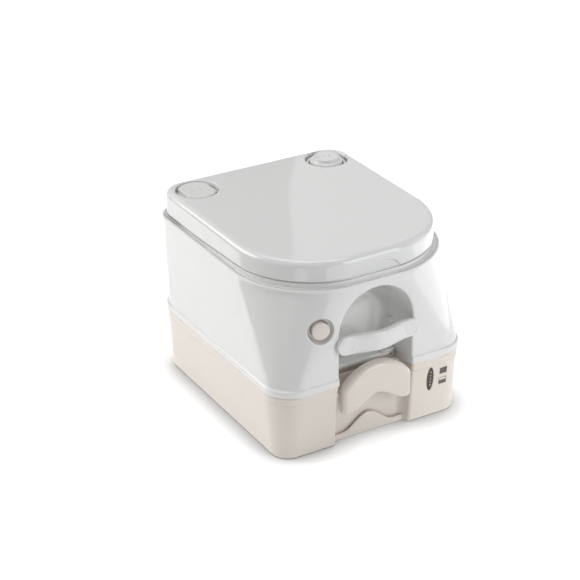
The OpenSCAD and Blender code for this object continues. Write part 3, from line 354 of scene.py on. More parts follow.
def plate(name, outlines, low, high, soft, place=None, **more):
    """Flat plate between two heights with rounded edges: outlines are its outer loop and its holes.
    place turns its points (x, y, height) into the frame."""
    curve = bpy.data.curves.new(name, "CURVE")
    curve.dimensions = "2D"
    curve.fill_mode = "BOTH"
    curve.extrude = (high - low) / 2 - soft
    curve.bevel_depth = soft
    curve.bevel_resolution = 3
    curve.offset = -soft
    for loop in outlines:
        spline = curve.splines.new("POLY")
        spline.points.add(len(loop) - 1)
        rows = np.column_stack([loop, np.zeros(len(loop)), np.ones(len(loop))])
        spline.points.foreach_set("co", rows.ravel())
        spline.use_cyclic_u = True
    holder = bpy.data.objects.new(name, curve)
    bpy.context.scene.collection.objects.link(holder)
    bpy.context.view_layer.update()
    made = bpy.data.meshes.new_from_object(holder.evaluated_get(bpy.context.evaluated_depsgraph_get()))
    co = np.zeros(len(made.vertices) * 3)
    made.vertices.foreach_get("co", co)
    points = co.reshape(-1, 3) + [0, 0, (low + high) / 2]
    faces = [list(p.vertices) for p in made.polygons]
    bpy.data.objects.remove(holder)
    bpy.data.curves.remove(curve)
    bpy.data.meshes.remove(made)
    if place:
        points = place(points)
    return flat_faces_lead(add_mesh(name, points, faces, merge=2e-6, **more))


def facing_front(p):
    """Flat points (x, z, depth) stood up to face the front."""
    return np.stack([p[:, 0], -p[:, 2], p[:, 1]], -1)


def upright(points):
    """Side view (y, z, along) stood up in the frame, along being x."""
    return points[:, [2, 0, 1]]


def along_latch(across, height, deep):
    """Points given across and deep along the latch's leaning axis, and by height."""
    ct, st = math.cos(LATCH_TURN), math.sin(LATCH_TURN)
    return np.stack([LATCH_X + across * ct + deep * st, LATCH_Y - across * st + deep * ct, height], -1)


# Flush tank

WALL_TOP, WALL_TOP_INSET = 258.7, 3.0
ROUND_FROM, ROUND_TO = 116.0, 254.7
# Foot of the wall: a flange with rounded edges, then the step in to the wall
WALL_ROWS = np.array([(SEAM + up, inset) for up, inset in (
    (0, 1.6), (0.15, 1.0), (0.6, 0.45), (1.3, 0.12), (2.2, 0), (7.6, 0), (8.8, 0.1), (9.7, 0.45),
    (10.4, 1.05), (10.9, 1.75), (11.4, 2.3), (12.2, 2.62), (13.6, 2.7))])
ARCH_PATCH, LATCH_PATCH = 67.0, 117.0
LATCH_LOW, LATCH_HIGH = 175.0, 225.0


def wall_inset(z):
    """How far the flush tank's wall stands in from the flange at height z."""
    return np.interp(z, np.append(WALL_ROWS[:, 0], WALL_TOP), np.append(WALL_ROWS[:, 1], WALL_TOP_INSET))


def wall_radii(z):
    """Front and rear corner radius of the flush tank's wall at height z."""
    share = np.clip((z - ROUND_FROM) / (ROUND_TO - ROUND_FROM), 0, 1)
    return FOOT_R + (RIM_FRONT_R - FOOT_R) * share, FOOT_R + (RIM_REAR_R - FOOT_R) * share


def wall_front_y(x, z):
    """Front surface of the flush tank's wall at x, z: the flat front, and in a corner of radius r, past its
    centre by p, further back by r - sqrt(r^2 - p^2)."""
    inset = wall_inset(z)
    rf, _ = wall_radii(z)
    past = np.maximum(0, np.abs(x) - (HALF_W - inset - rf))
    return inset - HALF_D + rf - np.sqrt(np.maximum(0, rf ** 2 - past ** 2))


def on_front(xz):
    """Points on the front wall from places (x, z)."""
    return np.stack([xz[..., 0], wall_front_y(xz[..., 0], xz[..., 1]), xz[..., 1]], -1)


def front_grid(xs, zs):
    """Grid of points on the front wall."""
    return on_front(np.stack(np.meshgrid(xs, zs), -1))


def blend_rings(a, b, n):
    """n + 1 rings from loop a to loop b."""
    t = np.linspace(0, 1, n + 1)[:, None, None]
    return a[None] * (1 - t) + b[None] * t


def patch_frame(xs, zs):
    """Frame of a patch from places (x, z): up its left side, over the top, down the right, back below."""
    inner = xs[1:-1]
    return np.concatenate([
        np.stack([np.full(len(zs), xs[0]), zs], -1), np.stack([inner, np.full(len(inner), zs[-1])], -1),
        np.stack([np.full(len(zs), xs[-1]), zs[::-1]], -1),
        np.stack([inner[::-1], np.full(len(inner), zs[0])], -1)])


def wall_sides(zs):
    """Rows of the wall round the sides and the back: the body's plan carried up the wall."""
    rows = []
    for z in zs:
        path = body_plan(float(wall_inset(z)), *wall_radii(z), 60)[1:]
        sides = path[(path[:, 1] > 0) | (np.abs(path[:, 0]) > LATCH_PATCH + 0.01)]
        ends = on_front(np.array([[LATCH_PATCH, z], [-LATCH_PATCH, z]]))[:, :2]
        rows.append((z, resample(np.concatenate([ends[:1], sides, ends[1:]]), 420)))
    return rings_to_grid(rows)


def wall_recess(zs):
    """The arched recess, as rings from its patch's frame to the arch, along the rounded edge, inwards along
    the side, round the hollow and over the back. The arch is a half circle on straight legs. Its radius
    shrinks and its crown sinks with the share of the depth."""
    edge, hollow, last = 3.6, 15.0, 50.0
    shrink, sink, spread = 12.5, 11.5, 50.0
    top = np.linspace(-ARCH_PATCH, ARCH_PATCH, 61)
    across = len(top) - 2
    frame_loop = patch_frame(top, zs)[:2 * len(zs) + across]
    turn = np.where(zs <= ARCH_Z, 180.0, 180 - spread * (zs - ARCH_Z) / (WALL_TOP - ARCH_Z))
    over = np.linspace(180 - spread, spread, len(top))[1:-1]
    angles = np.radians(np.concatenate([turn, over, (180 - turn)[::-1]]))
    leg = np.minimum(zs, ARCH_Z)
    legs = np.concatenate([leg, np.full(across, ARCH_Z), leg[::-1]])

    def arch_loop(share, inset):
        """Arch at a share of the recess's depth, drawn in by inset, as places (x, z)."""
        r = ARCH_R - shrink * share - inset
        lift = -sink * share * np.clip((legs - LEDGE_TOP) / (ARCH_Z - LEDGE_TOP), 0, 1)
        return np.stack([r * np.cos(angles), legs + lift + r * np.sin(angles)], -1)

    def arch_between(share, inset):
        """Arch whose share of the depth differs from point to point."""
        return arch_loop(0, inset) * (1 - share[:, None]) + arch_loop(1, inset) * share[:, None]

    lip = arch_loop(0, -edge)
    rings = list(on_front(blend_rings(frame_loop, lip, 3)))
    face_y = wall_front_y(lip[:, 0], lip[:, 1])
    for c, s in fillet(7)[1:]:
        loop = arch_loop(0, -edge * (1 - s))
        rings.append(np.stack([loop[:, 0], face_y + edge * (1 - c), loop[:, 1]], -1))
    depth = ARCH_BACK_Y - face_y
    for u in np.linspace(0, 1, 11)[1:]:
        share = (edge + u * (depth - edge - hollow)) / depth
        loop = arch_between(share, 0)
        rings.append(np.stack([loop[:, 0], face_y + depth * share, loop[:, 1]], -1))
    for c, s in fillet(10)[1:]:
        share = (depth - hollow * (1 - s)) / depth
        loop = arch_between(share, hollow * (1 - c))
        rings.append(np.stack([loop[:, 0], face_y + depth * share, loop[:, 1]], -1))
    for r in np.linspace(hollow, last, 7)[1:]:
        loop = arch_loop(1, r)
        rings.append(np.stack([loop[:, 0], np.full(len(loop), ARCH_BACK_Y), loop[:, 1]], -1))
    return np.stack(rings)


def wall_latch_cup(xs, zs):
    """The latch's cup, as rings from its patch's frame to a circle on the wall, over the rounded edge, down
    the leaning side, round the foot and on into the bore of the button."""
    rim_r, rim_edge, narrow = 21.0, 1.4, 1.4
    cup_deep, cup_foot = 8.0, 2.2
    bore_r, bore_edge, bore_deep, bore_foot = 13.5, 0.6, 15.0, 1.0
    frame_loop = patch_frame(xs, zs)
    around = np.arctan2(frame_loop[:, 1] - LATCH_Z, frame_loop[:, 0] - LATCH_X)

    def wall_ring(r):
        """Places (x, z) on the wall at radius r from the latch's axis, found by a few steps of correction."""
        u, z = r * np.cos(around), LATCH_Z + r * np.sin(around)
        x = LATCH_X + u
        for _ in range(12):
            lean = (wall_front_y(x, z) - LATCH_Y) * math.sin(LATCH_TURN)
            x = x - ((x - LATCH_X) * math.cos(LATCH_TURN) - lean - u)
        return np.stack([x, z], -1)

    def at_depth(r, v):
        """Points at radius r and depth v along the latch's axis."""
        deep = np.broadcast_to(v, around.shape)
        return along_latch(r * np.cos(around), LATCH_Z + r * np.sin(around), deep)

    outer = wall_ring(rim_r)
    rings = list(on_front(blend_rings(frame_loop, outer, 4)))
    rim = on_front(outer)
    start = (rim[:, 0] - LATCH_X) * math.sin(LATCH_TURN) + (rim[:, 1] - LATCH_Y) * math.cos(LATCH_TURN)
    for c, s in fillet(5)[1:]:
        rings.append(at_depth(rim_r - rim_edge * s, start + rim_edge * (1 - c)))
    side_r, low_r = rim_r - rim_edge, rim_r - rim_edge - narrow
    for u in np.linspace(0, 1, 9)[1:]:
        rings.append(at_depth(side_r - narrow * u, start + rim_edge + (cup_deep - start - rim_edge) * u))
    for c, s in fillet(5)[1:]:
        rings.append(at_depth(low_r - cup_foot * (1 - c), cup_deep + cup_foot * s))
    floor_deep = cup_deep + cup_foot
    for r in (bore_r + 0.9, bore_r + 0.4):
        rings.append(at_depth(r, floor_deep))
    for v in (floor_deep + bore_edge, 13.0, bore_deep):
        rings.append(at_depth(bore_r, v))
    for c, s in fillet(3)[1:]:
        rings.append(at_depth(bore_r - bore_foot * (1 - c), bore_deep + bore_foot * s))
    for r in (10, 5, 0):
        rings.append(at_depth(r, bore_deep + bore_foot))
    return np.stack(rings)


def flush_wall():
    """The flush tank's shell: round the sides and the back, grids over the front between them, one patch of
    rings that turns into the arched recess and one that dips into the latch's cup."""
    below_cup, beside_cup = np.linspace(122, 172, 14), np.linspace(LATCH_LOW, LATCH_HIGH, 17)
    above_cup = np.linspace(229, 253, 6)
    zs = np.concatenate([WALL_ROWS[:, 0], below_cup, beside_cup, above_cup, [WALL_TOP - 2.5, WALL_TOP]])
    right = np.linspace(ARCH_PATCH, LATCH_PATCH, 15)
    left = -right[::-1]
    latch_zs = zs[(zs >= LATCH_LOW) & (zs <= LATCH_HIGH)]
    parts = [
        (wall_sides(zs), False, False),
        (front_grid(right, zs), False, False),
        (front_grid(left, zs[zs <= LATCH_LOW]), False, False),
        (front_grid(left, zs[zs >= LATCH_HIGH]), False, False),
        (wall_recess(zs), False, False),
        (wall_latch_cup(left, latch_zs), False, True)]
    skin_of("flush_wall", parts, merge=2e-5, stands_for=("water_tank",), **ON_FLUSH_TANK)


flush_wall()

RIM_INSET = 1.2


def rim_plan(inset):
    """Plan at the flush tank's rim."""
    return body_plan(inset, RIM_FRONT_R + RIM_INSET - inset, RIM_REAR_R + RIM_INSET - inset, 40)


# Rim band: a flat bead with rounded edges
swept_band("rim_band", [(inset, RIM + up) for inset, up in (
    (6, -4), (2.6, -4), (1.9, -3.85), (1.4, -3.45), (RIM_INSET, -2.8), (RIM_INSET, -1.1), (1.35, -0.55),
    (1.8, -0.15), (2.4, 0), (6, 0))], rim_plan, **ON_FLUSH_TANK)


def tank_sole():
    """The flush tank's sole, with the recess cut into its front and the neck's opening."""
    inset, corner, cut_y, thick, neck_hole = 3.0, 42.0, -153.0, 3.5, 46.3
    front = inset - HALF_D
    path = body_plan(inset, corner, corner, 16)
    path = path[(np.abs(path[:, 0]) > ARCH_R) | (path[:, 1] > 0)]
    outline = np.concatenate([
        [(ARCH_R, cut_y), (ARCH_R, front)], path, [(-ARCH_R, front), (-ARCH_R, cut_y)]])
    plate("tank_sole", [outline, circle(0, PORT_Y, neck_hole)], SEAM, SEAM + thick, 0.4, **ON_FLUSH_TANK)


tank_sole()

LEDGE_LEFT, LEDGE_RIGHT, LEDGE_FRONT, LEDGE_BACK = -62.0, 54.0, -155.0, -122.0


def ledge():
    """Ledge at the foot of the arched recess: its section, with a rounded front edge, carried across."""
    edge, foot = 2.6, 0.6
    q = fillet(6)
    section = np.array(
        [(LEDGE_BACK, SEAM), (LEDGE_BACK, LEDGE_TOP), (LEDGE_FRONT + 5, LEDGE_TOP)]
        + [(LEDGE_FRONT + edge * (1 - s), LEDGE_TOP - edge * (1 - c)) for c, s in q]
        + [(LEDGE_FRONT, SEAM + 3)]
        + [(LEDGE_FRONT + foot * (1 - c), SEAM + foot * (1 - s)) for c, s in q])
    xs = np.linspace(LEDGE_LEFT, LEDGE_RIGHT, 9)
    grid = np.stack([np.column_stack([np.full(len(section), x), section]) for x in xs])
    points, faces = gather([(grid, False, True)])
    n = len(section)
    faces += [list(range(n)), list(range((len(xs) - 1) * n, len(xs) * n))]
    flat_faces_lead(add_mesh("recess_ledge", points, faces, **ON_FLUSH_TANK))
    step_left, step_back, step_high, proud = 30.0, -134.0, 3.4, 0.6
    step = box(step_left, LEDGE_RIGHT - proud, LEDGE_FRONT - proud, step_back)
    plate("ledge_step", [step], LEDGE_TOP - 1, LEDGE_TOP + step_high, 0.8, **ON_FLUSH_TANK)
    # Painted shade: a dark disc on the ledge's front stands for a hole in shade
    hole_x, hole_z, hole_r = 46.5, 110.8, 2.1
    plate("ledge_hole_shade", [circle(hole_x, hole_z, hole_r, 32)], -LEDGE_FRONT - 0.4, -LEDGE_FRONT + 0.2, 0.1,
          place=facing_front, **SHADE_ON_FLUSH_TANK)
    # Painted shade: a dark plate fills the shaded corner between the ledge's right end and the recess's wall
    corner_back, corner_front = 148.0, 150.0
    corner = box(LEDGE_RIGHT + proud, ARCH_R - 0.9, SEAM + 1, LEDGE_TOP + 5)
    plate("ledge_corner_shade", [corner], corner_back, corner_front, 0.4, place=facing_front, **SHADE_ON_FLUSH_TANK)


ledge()


# Deck, bowl and filler neck

def hinge_eye(r, a0, a1, foot):
    """Side view of a hinge eye: an arc about the hinge's axis from angle a0 to a1, closed by the foot."""
    return np.concatenate([arc(HINGE_Y, HINGE_Z, r, a0, a1, 24), foot])


def bowl_deck():
    """Deck plate with its openings, and the hinge lugs: round eyes on straight feet."""
    inset, thick, bowl_x, bowl_y, filler_r, pump_r = 4.5, 3.5, 102.4, 114.4, 30.0, 24.2
    lug_r, lug_foot, inner_x, outer_x = 6.5, RIM - 1, 40.0, 62.8
    openings = [ellipse(bowl_x, bowl_y), circle(-CAP_X, CAP_Y, filler_r), circle(CAP_X, CAP_Y, pump_r)]
    plate("deck_plate", [resample(rim_plan(inset), 300, True)] + openings, RIM - thick, RIM - 0.05, 0.3,
          stands_for=("bowl_deck",), **ON_FLUSH_TANK)
    lug = hinge_eye(lug_r, 0, 180, [(HINGE_Y - lug_r, lug_foot), (HINGE_Y + lug_r, lug_foot)])
    for i, x in enumerate((-outer_x - HINGE_WIDE, -inner_x - HINGE_WIDE, inner_x, outer_x)):
        plate(f"hinge_lug_{i + 1}", [lug], x, x + HINGE_WIDE, HINGE_SOFT, place=upright, **ON_FLUSH_TANK)


bowl_deck()

# The lid's lower edge in front, its fall and its rise again, and where and over how far along y they lie
LID_EDGE, LID_EDGE_FALL, LID_EDGE_RISE = 271.8, 6.0, 6.2
FALL_FROM, FALL_LONG, RISE_FROM, RISE_LONG = -90.0, 170.0, 166.0, 14.0


def skirt_line(y):
    """Height of the lid's lower edge: level in front, falling a little towards the rear, and back up round
    the rear face, which swings close by the caps."""
    fall = LID_EDGE_FALL * smooth((y - FALL_FROM) / FALL_LONG)
    return LID_EDGE - fall + LID_EDGE_RISE * smooth((y - RISE_FROM) / RISE_LONG)


def deck_step():
    """Low step on the deck just under the lid's edge: its top keeps below the edge all the way round, with
    a rim inside it that closes the gap from behind. It ends before the hinges."""
    count, clear, foot_z = 720, 3.0, RIM - 0.8
    front_r, rear_r, end_from, end_long = 134.0, 44.0, 100.0, 30.0
    # How far each row stands in, and how far it lies above the step's top, None being the step's foot
    profile = (
        (8.3, None), (8.3, -0.9), (8.45, -0.4), (8.8, -0.1), (9.2, 0), (10.6, 0), (11.2, 0.5), (11.3, 1.2),
        (11.3, 5.2), (11.7, 5.6), (12.8, 5.6), (13.2, 5.2), (13.2, None))
    rows = []
    for inset, up in profile:
        p = resample(body_plan(inset, front_r - inset, rear_r - inset, 60), count, True)
        top = skirt_line(p[:, 1]) - clear
        fall = smooth((p[:, 1] - end_from) / end_long)
        above = top + (foot_z - top) * fall + (up or 0) * (1 - fall)
        z = np.full(count, foot_z) if up is None else np.maximum(above, foot_z)
        rows.append(np.column_stack([p, z]))
    skin_of("deck_step", [(np.stack(rows), False, True)], **ON_FLUSH_TANK)


deck_step()


def bowl():
    """The bowl: ellipses about the port whose half axes grow with the height's share to the power 0.75,
    rolled over at the deck, with the outlet neck below and the wall's outer face round it."""
    foot_r, grow_x, grow_y, power = 42.3, 57.7, 69.7, 0.75
    foot_z, deck_z, wall = 118.0, RIM - 1, 4.2
    bore, neck_r, roll = 42.0, 46.0, 3.0
    shares = np.linspace(0, 1, 26)

    def ellipses(out, top_z, steps):
        """Half axes and height for each share of the height."""
        return [(foot_r + out + grow_x * s ** power, foot_r + out + grow_y * s ** power,
                 foot_z + (top_z - foot_z) * s) for s in steps]

    lip = [(foot_r + grow_x + roll * (1 - s), foot_r + grow_y + roll * (1 - s), deck_z + 0.98 * c)
           for c, s in fillet(5)]
    neck = [
        (bore, 117.5), (bore, 112), (bore, SEAM + 1), (bore + 0.5, SEAM + 0.2),
        (neck_r - 0.5, SEAM + 0.2), (neck_r, SEAM + 1), (neck_r, 112), (neck_r + 0.2, 117)]
    rings = np.array(lip + ellipses(0, deck_z, shares[::-1])[1:] + [(r, r, z) for r, z in neck]
                     + ellipses(wall, deck_z - 2, shares))
    a = turn_angles(128)
    grid = np.stack([rings[:, :1] * np.cos(a), PORT_Y + rings[:, 1:2] * np.sin(a),
                     np.repeat(rings[:, 2:], len(a), 1)], -1)
    skin_of("bowl_skin", [(grid, True, True)], stands_for=("bowl",), **ON_FLUSH_TANK)


bowl()


def filler_neck():
    """The filler's tube with its rounded mouth, and the flange it stands on."""
    bore, tube_r, mouth_z, soft = 20.0, 25.0, 286.5, 0.8
    flange_r, flange_z, flange_soft = 34.0, 264.0, 0.6
    q = fillet(3)
    lathe("neck_tube",
          [(tube_r + soft, flange_z)]
          + [(tube_r + soft * (1 - s), flange_z + soft * (1 - c)) for c, s in q]
          + [(tube_r - soft * (1 - c), mouth_z - soft * (1 - s)) for c, s in q]
          + [(bore + soft * (1 - s), mouth_z - soft * (1 - c)) for c, s in q]
          + [(bore, 270), (bore, RIM), (flange_r - 0.4, RIM)]
          + [(flange_r - flange_soft * (1 - c), flange_z - flange_soft * (1 - s)) for c, s in q],
          (-CAP_X, CAP_Y), closed=True, stands_for=("filler_neck",), **ON_FLUSH_TANK)


filler_neck()


# Carry handle

def carry_handle():
    """The bowed bar: across it a section with rounded front edges, whose height falls to nothing round each
    end and whose front bows out by a smooth hump. A fine groove follows its outline and closes to a circle
    at each end."""
    half, end_r, centre_z = 69.5, 14.5, 170.0
    face_y, stand, bow, reach, thick = -187.3, 7.3, 10.0, 54.0, 9.0
    front_edge, back_edge = 2.6, 1.4
    groove_r, groove_deep, groove_wide, near_end = 10.7, 0.6, 0.55, 12.0
    end_x = half - end_r
    out_end = np.radians(np.linspace(90, 0, 49))
    middle = np.concatenate([
        np.linspace(-end_x, near_end - end_x, 28)[:-1], np.linspace(near_end - end_x, end_x - near_end, 44),
        np.linspace(end_x - near_end, end_x, 28)[1:]])
    xs = np.concatenate([
        -end_x - end_r * np.sin(out_end), middle[1:-1], end_x + end_r * np.sin(out_end[::-1])])
    q = fillet(6)
    rings = []
    for x in xs:
        past = max(0.0, abs(x) - end_x)
        tall = math.sqrt(max(0.0, end_r ** 2 - past ** 2))
        front = face_y - stand - bow * float(hump(x / reach))
        back = min(face_y - 0.3, front + thick)
        edge = min(front_edge, (back - front) * 0.6)
        e, b = min(edge, tall), min(back_edge, tall)
        left = max(0.0, edge - (half - abs(x)))
        f = front + edge - math.sqrt(max(0.0, edge ** 2 - left ** 2))
        flat = np.linspace(tall - e, e - tall, 71)[1:-1]
        off_line = np.hypot(past, flat) - groove_r
        off_circle = np.hypot(abs(x) - end_x, flat) - groove_r if past == 0 else np.full(len(flat), 9.0)
        line, ring = np.exp(-(off_line / groove_wide) ** 2), np.exp(-(off_circle / groove_wide) ** 2)
        loop = [(f + e * (1 - s), tall - e * (1 - c)) for c, s in q]
        loop += list(zip(f + groove_deep * np.maximum(line, ring), flat))
        loop += [(f + e * (1 - c), -tall + e * (1 - s)) for c, s in q]
        loop += [(back - b * (1 - s), -tall + b * (1 - c)) for c, s in q]
        loop += [(back - b * (1 - c), tall - b * (1 - s)) for c, s in q]
        rings.append([(x, y, centre_z + z) for y, z in loop])
    skin_of("carry_bar", [(np.array(rings), False, True)], stands_for=("carry_handle",), **ON_FLUSH_TANK)


carry_handle()


# Pull handle

def pull_outline(inset):
    """Front view of the pull handle drawn in by inset: crown, round shoulders and toes, bell-shaped arch
    below."""
    hw, crown_r, shoulder_r = 59 - inset, 71 - inset, 12 - inset
    crown_z, foot, arch_high = 58.0, 55 + inset, 22.0
    toe = 7 - inset / 2
    shoulder_x = hw - shoulder_r
    rise = math.sqrt((crown_r - shoulder_r) ** 2 - shoulder_x ** 2)
    turn = math.degrees(math.atan2(rise, shoulder_x))
    u = np.linspace(-1, 1, 61)[1:-1]
    return np.concatenate([
        arc(hw - toe, foot + toe, toe, -90, 0, 12), arc(shoulder_x, crown_z + rise, shoulder_r, 0, turn, 12),
        arc(0, crown_z, crown_r, turn, 180 - turn, 80)[1:-1],
        arc(-shoulder_x, crown_z + rise, shoulder_r, 180 - turn, 180, 12),
        arc(toe - hw, foot + toe, toe, 180, 270, 12),
        np.stack([u * (hw - toe), foot + arch_high * hump(u)], -1)])


def pull_handle():
    """The arched pull handle: its outline carried from back to front, turned in over a wide rounded front
    edge, with flat faces closing both ends, and the boss that holds it on the valve's stem."""
    front, back, edge = -196.0, -182.0, 7.8
    boss_half, boss_long, boss_low, boss_high = 24, 18, 99.3, 104.3
    stages = [(back, 4.0), (back, 0.9), (back - 0.15, 0.45), (back - 0.45, 0.15), (back - 0.9, 0.0)]
    stages += [(front + edge * (1 - s), edge * (1 - c)) for c, s in fillet(12)]
    stages += [(front, edge + 1.2)]
    outlines = [(y, pull_outline(inset)) for y, inset in stages]
    rings = np.stack([np.column_stack([p[:, 0], np.full(len(p), y), p[:, 1]]) for y, p in outlines])
    points, faces = gather([(rings, False, True)])
    n = rings.shape[1]
    edges = [(i, (i + 1) % n) for i in range(n)]
    for k in (0, len(stages) - 1):
        loop = [Vector(p) for p in rings[k][:, [0, 2]]]
        _, _, tris, origin, _, _ = delaunay_2d_cdt(loop, edges, [], 1, 1e-6)
        first = [o[0] for o in origin]
        faces += [[k * n + first[i] for i in tri] for tri in tris]
    flat_faces_lead(add_mesh("pull_handle", points, faces, stands_for=("valve_handle",), **ON_VALVE))
    boss = box(-boss_half, boss_half, back - 1, back + boss_long)
    plate("pull_boss", [boss], boss_low, boss_high, 0.8, **ON_VALVE)


pull_handle()


# Holding tank

TANK_FOOT_R, TANK_FOOT_INSET, TANK_LEAN, TANK_LEAN_HIGH = 5.0, 9.0, 6.8, 93.0
BAY_WALL_Y = -176.0
TANK_DECK = 92.0
# The bead under the seam: heights and how far the wall comes out there
BEAD_Z = SEAM + np.array([-7.8, -7.2, -6.8, -6.3, -5.6, -1.6, -0.9, -0.4, -0.1, 0])
BEAD_OUT = np.array([0, 0.12, 0.45, 0.9, 1.2, 1.2, 1.05, 0.7, 0.3, 0.1])


def tank_inset(z):
    """How far the holding tank's wall stands in from the flange at height z: a quarter circle at the foot,
    then a straight lean, less the bead under the seam."""
    z = np.asarray(z, float)
    off = 1 - np.clip(z / TANK_FOOT_R, 0, 1)
    foot = TANK_FOOT_INSET + TANK_FOOT_R * (1 - np.sqrt(np.maximum(0, 1 - off ** 2)))
    lean = TANK_FOOT_INSET - TANK_LEAN * np.clip((z - TANK_FOOT_R) / TANK_LEAN_HIGH, 0, 1)
    return np.where(z < TANK_FOOT_R, foot, lean - np.interp(z, BEAD_Z, BEAD_OUT))


def tank_radius(z):
    """Corner radius of the holding tank at height z."""
    return np.interp(z, [0, 5, 98, 105], [25, 30, 44, 44.5])


def tank_face(xz):
    """Points on the tank's flat front from places (x, z)."""
    return np.stack([xz[..., 0], tank_inset(xz[..., 1]) - HALF_D, xz[..., 1]], -1)


def recess_back(grow, n):
    """Back wall of the front recess with its two round corners, from left to right."""
    x, y, r = RECESS_HW - RECESS_R, RECESS_BACK_Y - RECESS_R, RECESS_R + grow
    return np.concatenate([arc(-x, y, r, 180, 90, n), arc(x, y, r, 90, 0, n)])


def notch_back(grow, n):
    """Front wall of the spout's notch with its two round corners, from right to left."""
    y, r = NOTCH_Y + NOTCH_R, NOTCH_R + grow
    return np.concatenate([
        arc(NOTCH_RIGHT - NOTCH_R, y, r, 0, -90, n), arc(NOTCH_LEFT + NOTCH_R, y, r, -90, -180, n)])


def tank_rows(zs, edge, window_right):
    """The holding tank's wall apart from its flat front: both sides, the front recess, the wall under the
    spout's notch, and the notch."""
    notch_side = NOTCH_Y + 24
    right_rows, left_rows, front_rows, under_rows, notch_rows = [], [], [], [], []
    for z in zs:
        inset, r = float(tank_inset(z)), float(tank_radius(z))
        hw, front, back = HALF_W - inset, inset - HALF_D, HALF_D - inset
        right = np.concatenate([
            [(window_right, front)], arc(hw - r, front + r, r, -90, 0, 40),
            arc(hw - r, back - r, r, 0, 90, 40), [(NOTCH_RIGHT, back)]])
        left = np.concatenate([
            [(NOTCH_LEFT, back)], arc(r - hw, back - r, r, 90, 180, 40),
            arc(r - hw, front + r, r, 180, 270, 40), [(-RECESS_HW - edge, front)]])
        right_rows.append((z, resample(right, 200)))
        left_rows.append((z, resample(left, 220)))
        front_rows.append((z, np.concatenate([
            arc(-RECESS_HW - edge, front + edge, edge, -90, 0, 10), [(-RECESS_HW, BAY_WALL_Y)],
            recess_back(0, 16), [(RECESS_HW, BAY_WALL_Y)],
            arc(RECESS_HW + edge, front + edge, edge, 180, 270, 10)])))
        if z <= NOTCH_Z:
            under = np.linspace(NOTCH_RIGHT, NOTCH_LEFT, 60)
            under_rows.append((z, np.stack([under, np.full(len(under), back)], -1)))
        if z >= NOTCH_Z:
            notch_rows.append((z, np.concatenate([
                [(NOTCH_RIGHT, back), (NOTCH_RIGHT, notch_side)], notch_back(0, 10),
                [(NOTCH_LEFT, notch_side), (NOTCH_LEFT, back)]])))
    return [(rings_to_grid(rows), False, False)
            for rows in (right_rows, left_rows, front_rows, under_rows, notch_rows)]


def window_rings(xs, zs):
    """Rings from the window patch's frame to an upright oval, over its rounded edge and inwards."""
    frame_half, edge, taller, sink, squash = 6.8, 0.6, 14.4, 2.6, 0.3
    frame_loop = patch_frame(xs, zs)
    around = np.arctan2((frame_loop[:, 1] - WINDOW_Z) * squash, frame_loop[:, 0] - WINDOW_X)

    def oval(r):
        """Oval of half width r about the window's middle, one point for each of the frame's."""
        return np.stack([WINDOW_X + r * np.cos(around), WINDOW_Z + (r + taller) * np.sin(around)], -1)

    rings = list(tank_face(blend_rings(frame_loop, oval(frame_half), 3)))
    for c, s in fillet(4)[1:]:
        rings.append(tank_face(oval(frame_half - edge * s)) + [0, edge * (1 - c), 0])
    rings.append(tank_face(oval(frame_half - edge)) + [0, sink, 0])
    return np.stack(rings)


def holding_tank():
    """The holding tank's wall: its plan carried up over the rounded foot, the lean and the bead, with the
    recess in front as a deep round-cornered channel, the spout's notch behind, and a patch of rings round
    the level window."""
    edge, patch_half, patch_low, patch_high = 4.5, 10.0, 42.0, 93.0
    foot = TANK_FOOT_R * (1 - np.cos(np.radians(np.linspace(0, 90, 8))))
    zs = np.concatenate([
        foot, np.linspace(9, 34, 6), [NOTCH_Z], np.linspace(patch_low, patch_high, 22), [95.5],
        BEAD_Z[:5], [101.4], BEAD_Z[5:]])
    near = np.linspace(RECESS_HW + edge, WINDOW_X - patch_half, 7)
    wide = np.linspace(WINDOW_X - patch_half, WINDOW_X + patch_half, 11)
    parts = tank_rows(zs, edge, WINDOW_X + patch_half)
    for xs, rows in ((near, zs), (wide, zs[zs <= patch_low]), (wide, zs[zs >= patch_high])):
        parts.append((tank_face(np.stack(np.meshgrid(xs, rows), -1)), False, False))
    parts.append((window_rings(wide, zs[(zs >= patch_low) & (zs <= patch_high)]), False, True))
    skin_of("holding_wall", parts, merge=2e-5, stands_for=("holding_tank",), **ON_HOLDING_TANK)


holding_tank()


def tank_outline(inset, corner, notch=True):
    """Plan of the holding tank with its recess, and with its spout notch, as one closed loop."""
    grow = 0.2
    path = body_plan(inset, corner, corner, 24)
    x, y = path[:, 0], path[:, 1]
    front, back = inset - HALF_D, HALF_D - inset
    recess = np.concatenate([
        [(-RECESS_HW - grow, front)], recess_back(grow, 10), [(RECESS_HW + grow, front)]])
    past_recess = RECESS_HW + grow + 1
    right = np.concatenate([path[(x > past_recess) & (y < 0)], path[(x > NOTCH_RIGHT + grow) & (y > 0)]])
    left = np.concatenate([path[(x < NOTCH_LEFT - grow) & (y > 0)], path[(x < -past_recess) & (y < 0)]])
    behind = np.concatenate([
        [(NOTCH_RIGHT + grow, back)], notch_back(grow, 8), [(NOTCH_LEFT - grow, back)]])
    return np.concatenate([recess, right, behind, left] if notch else [recess, right, left])


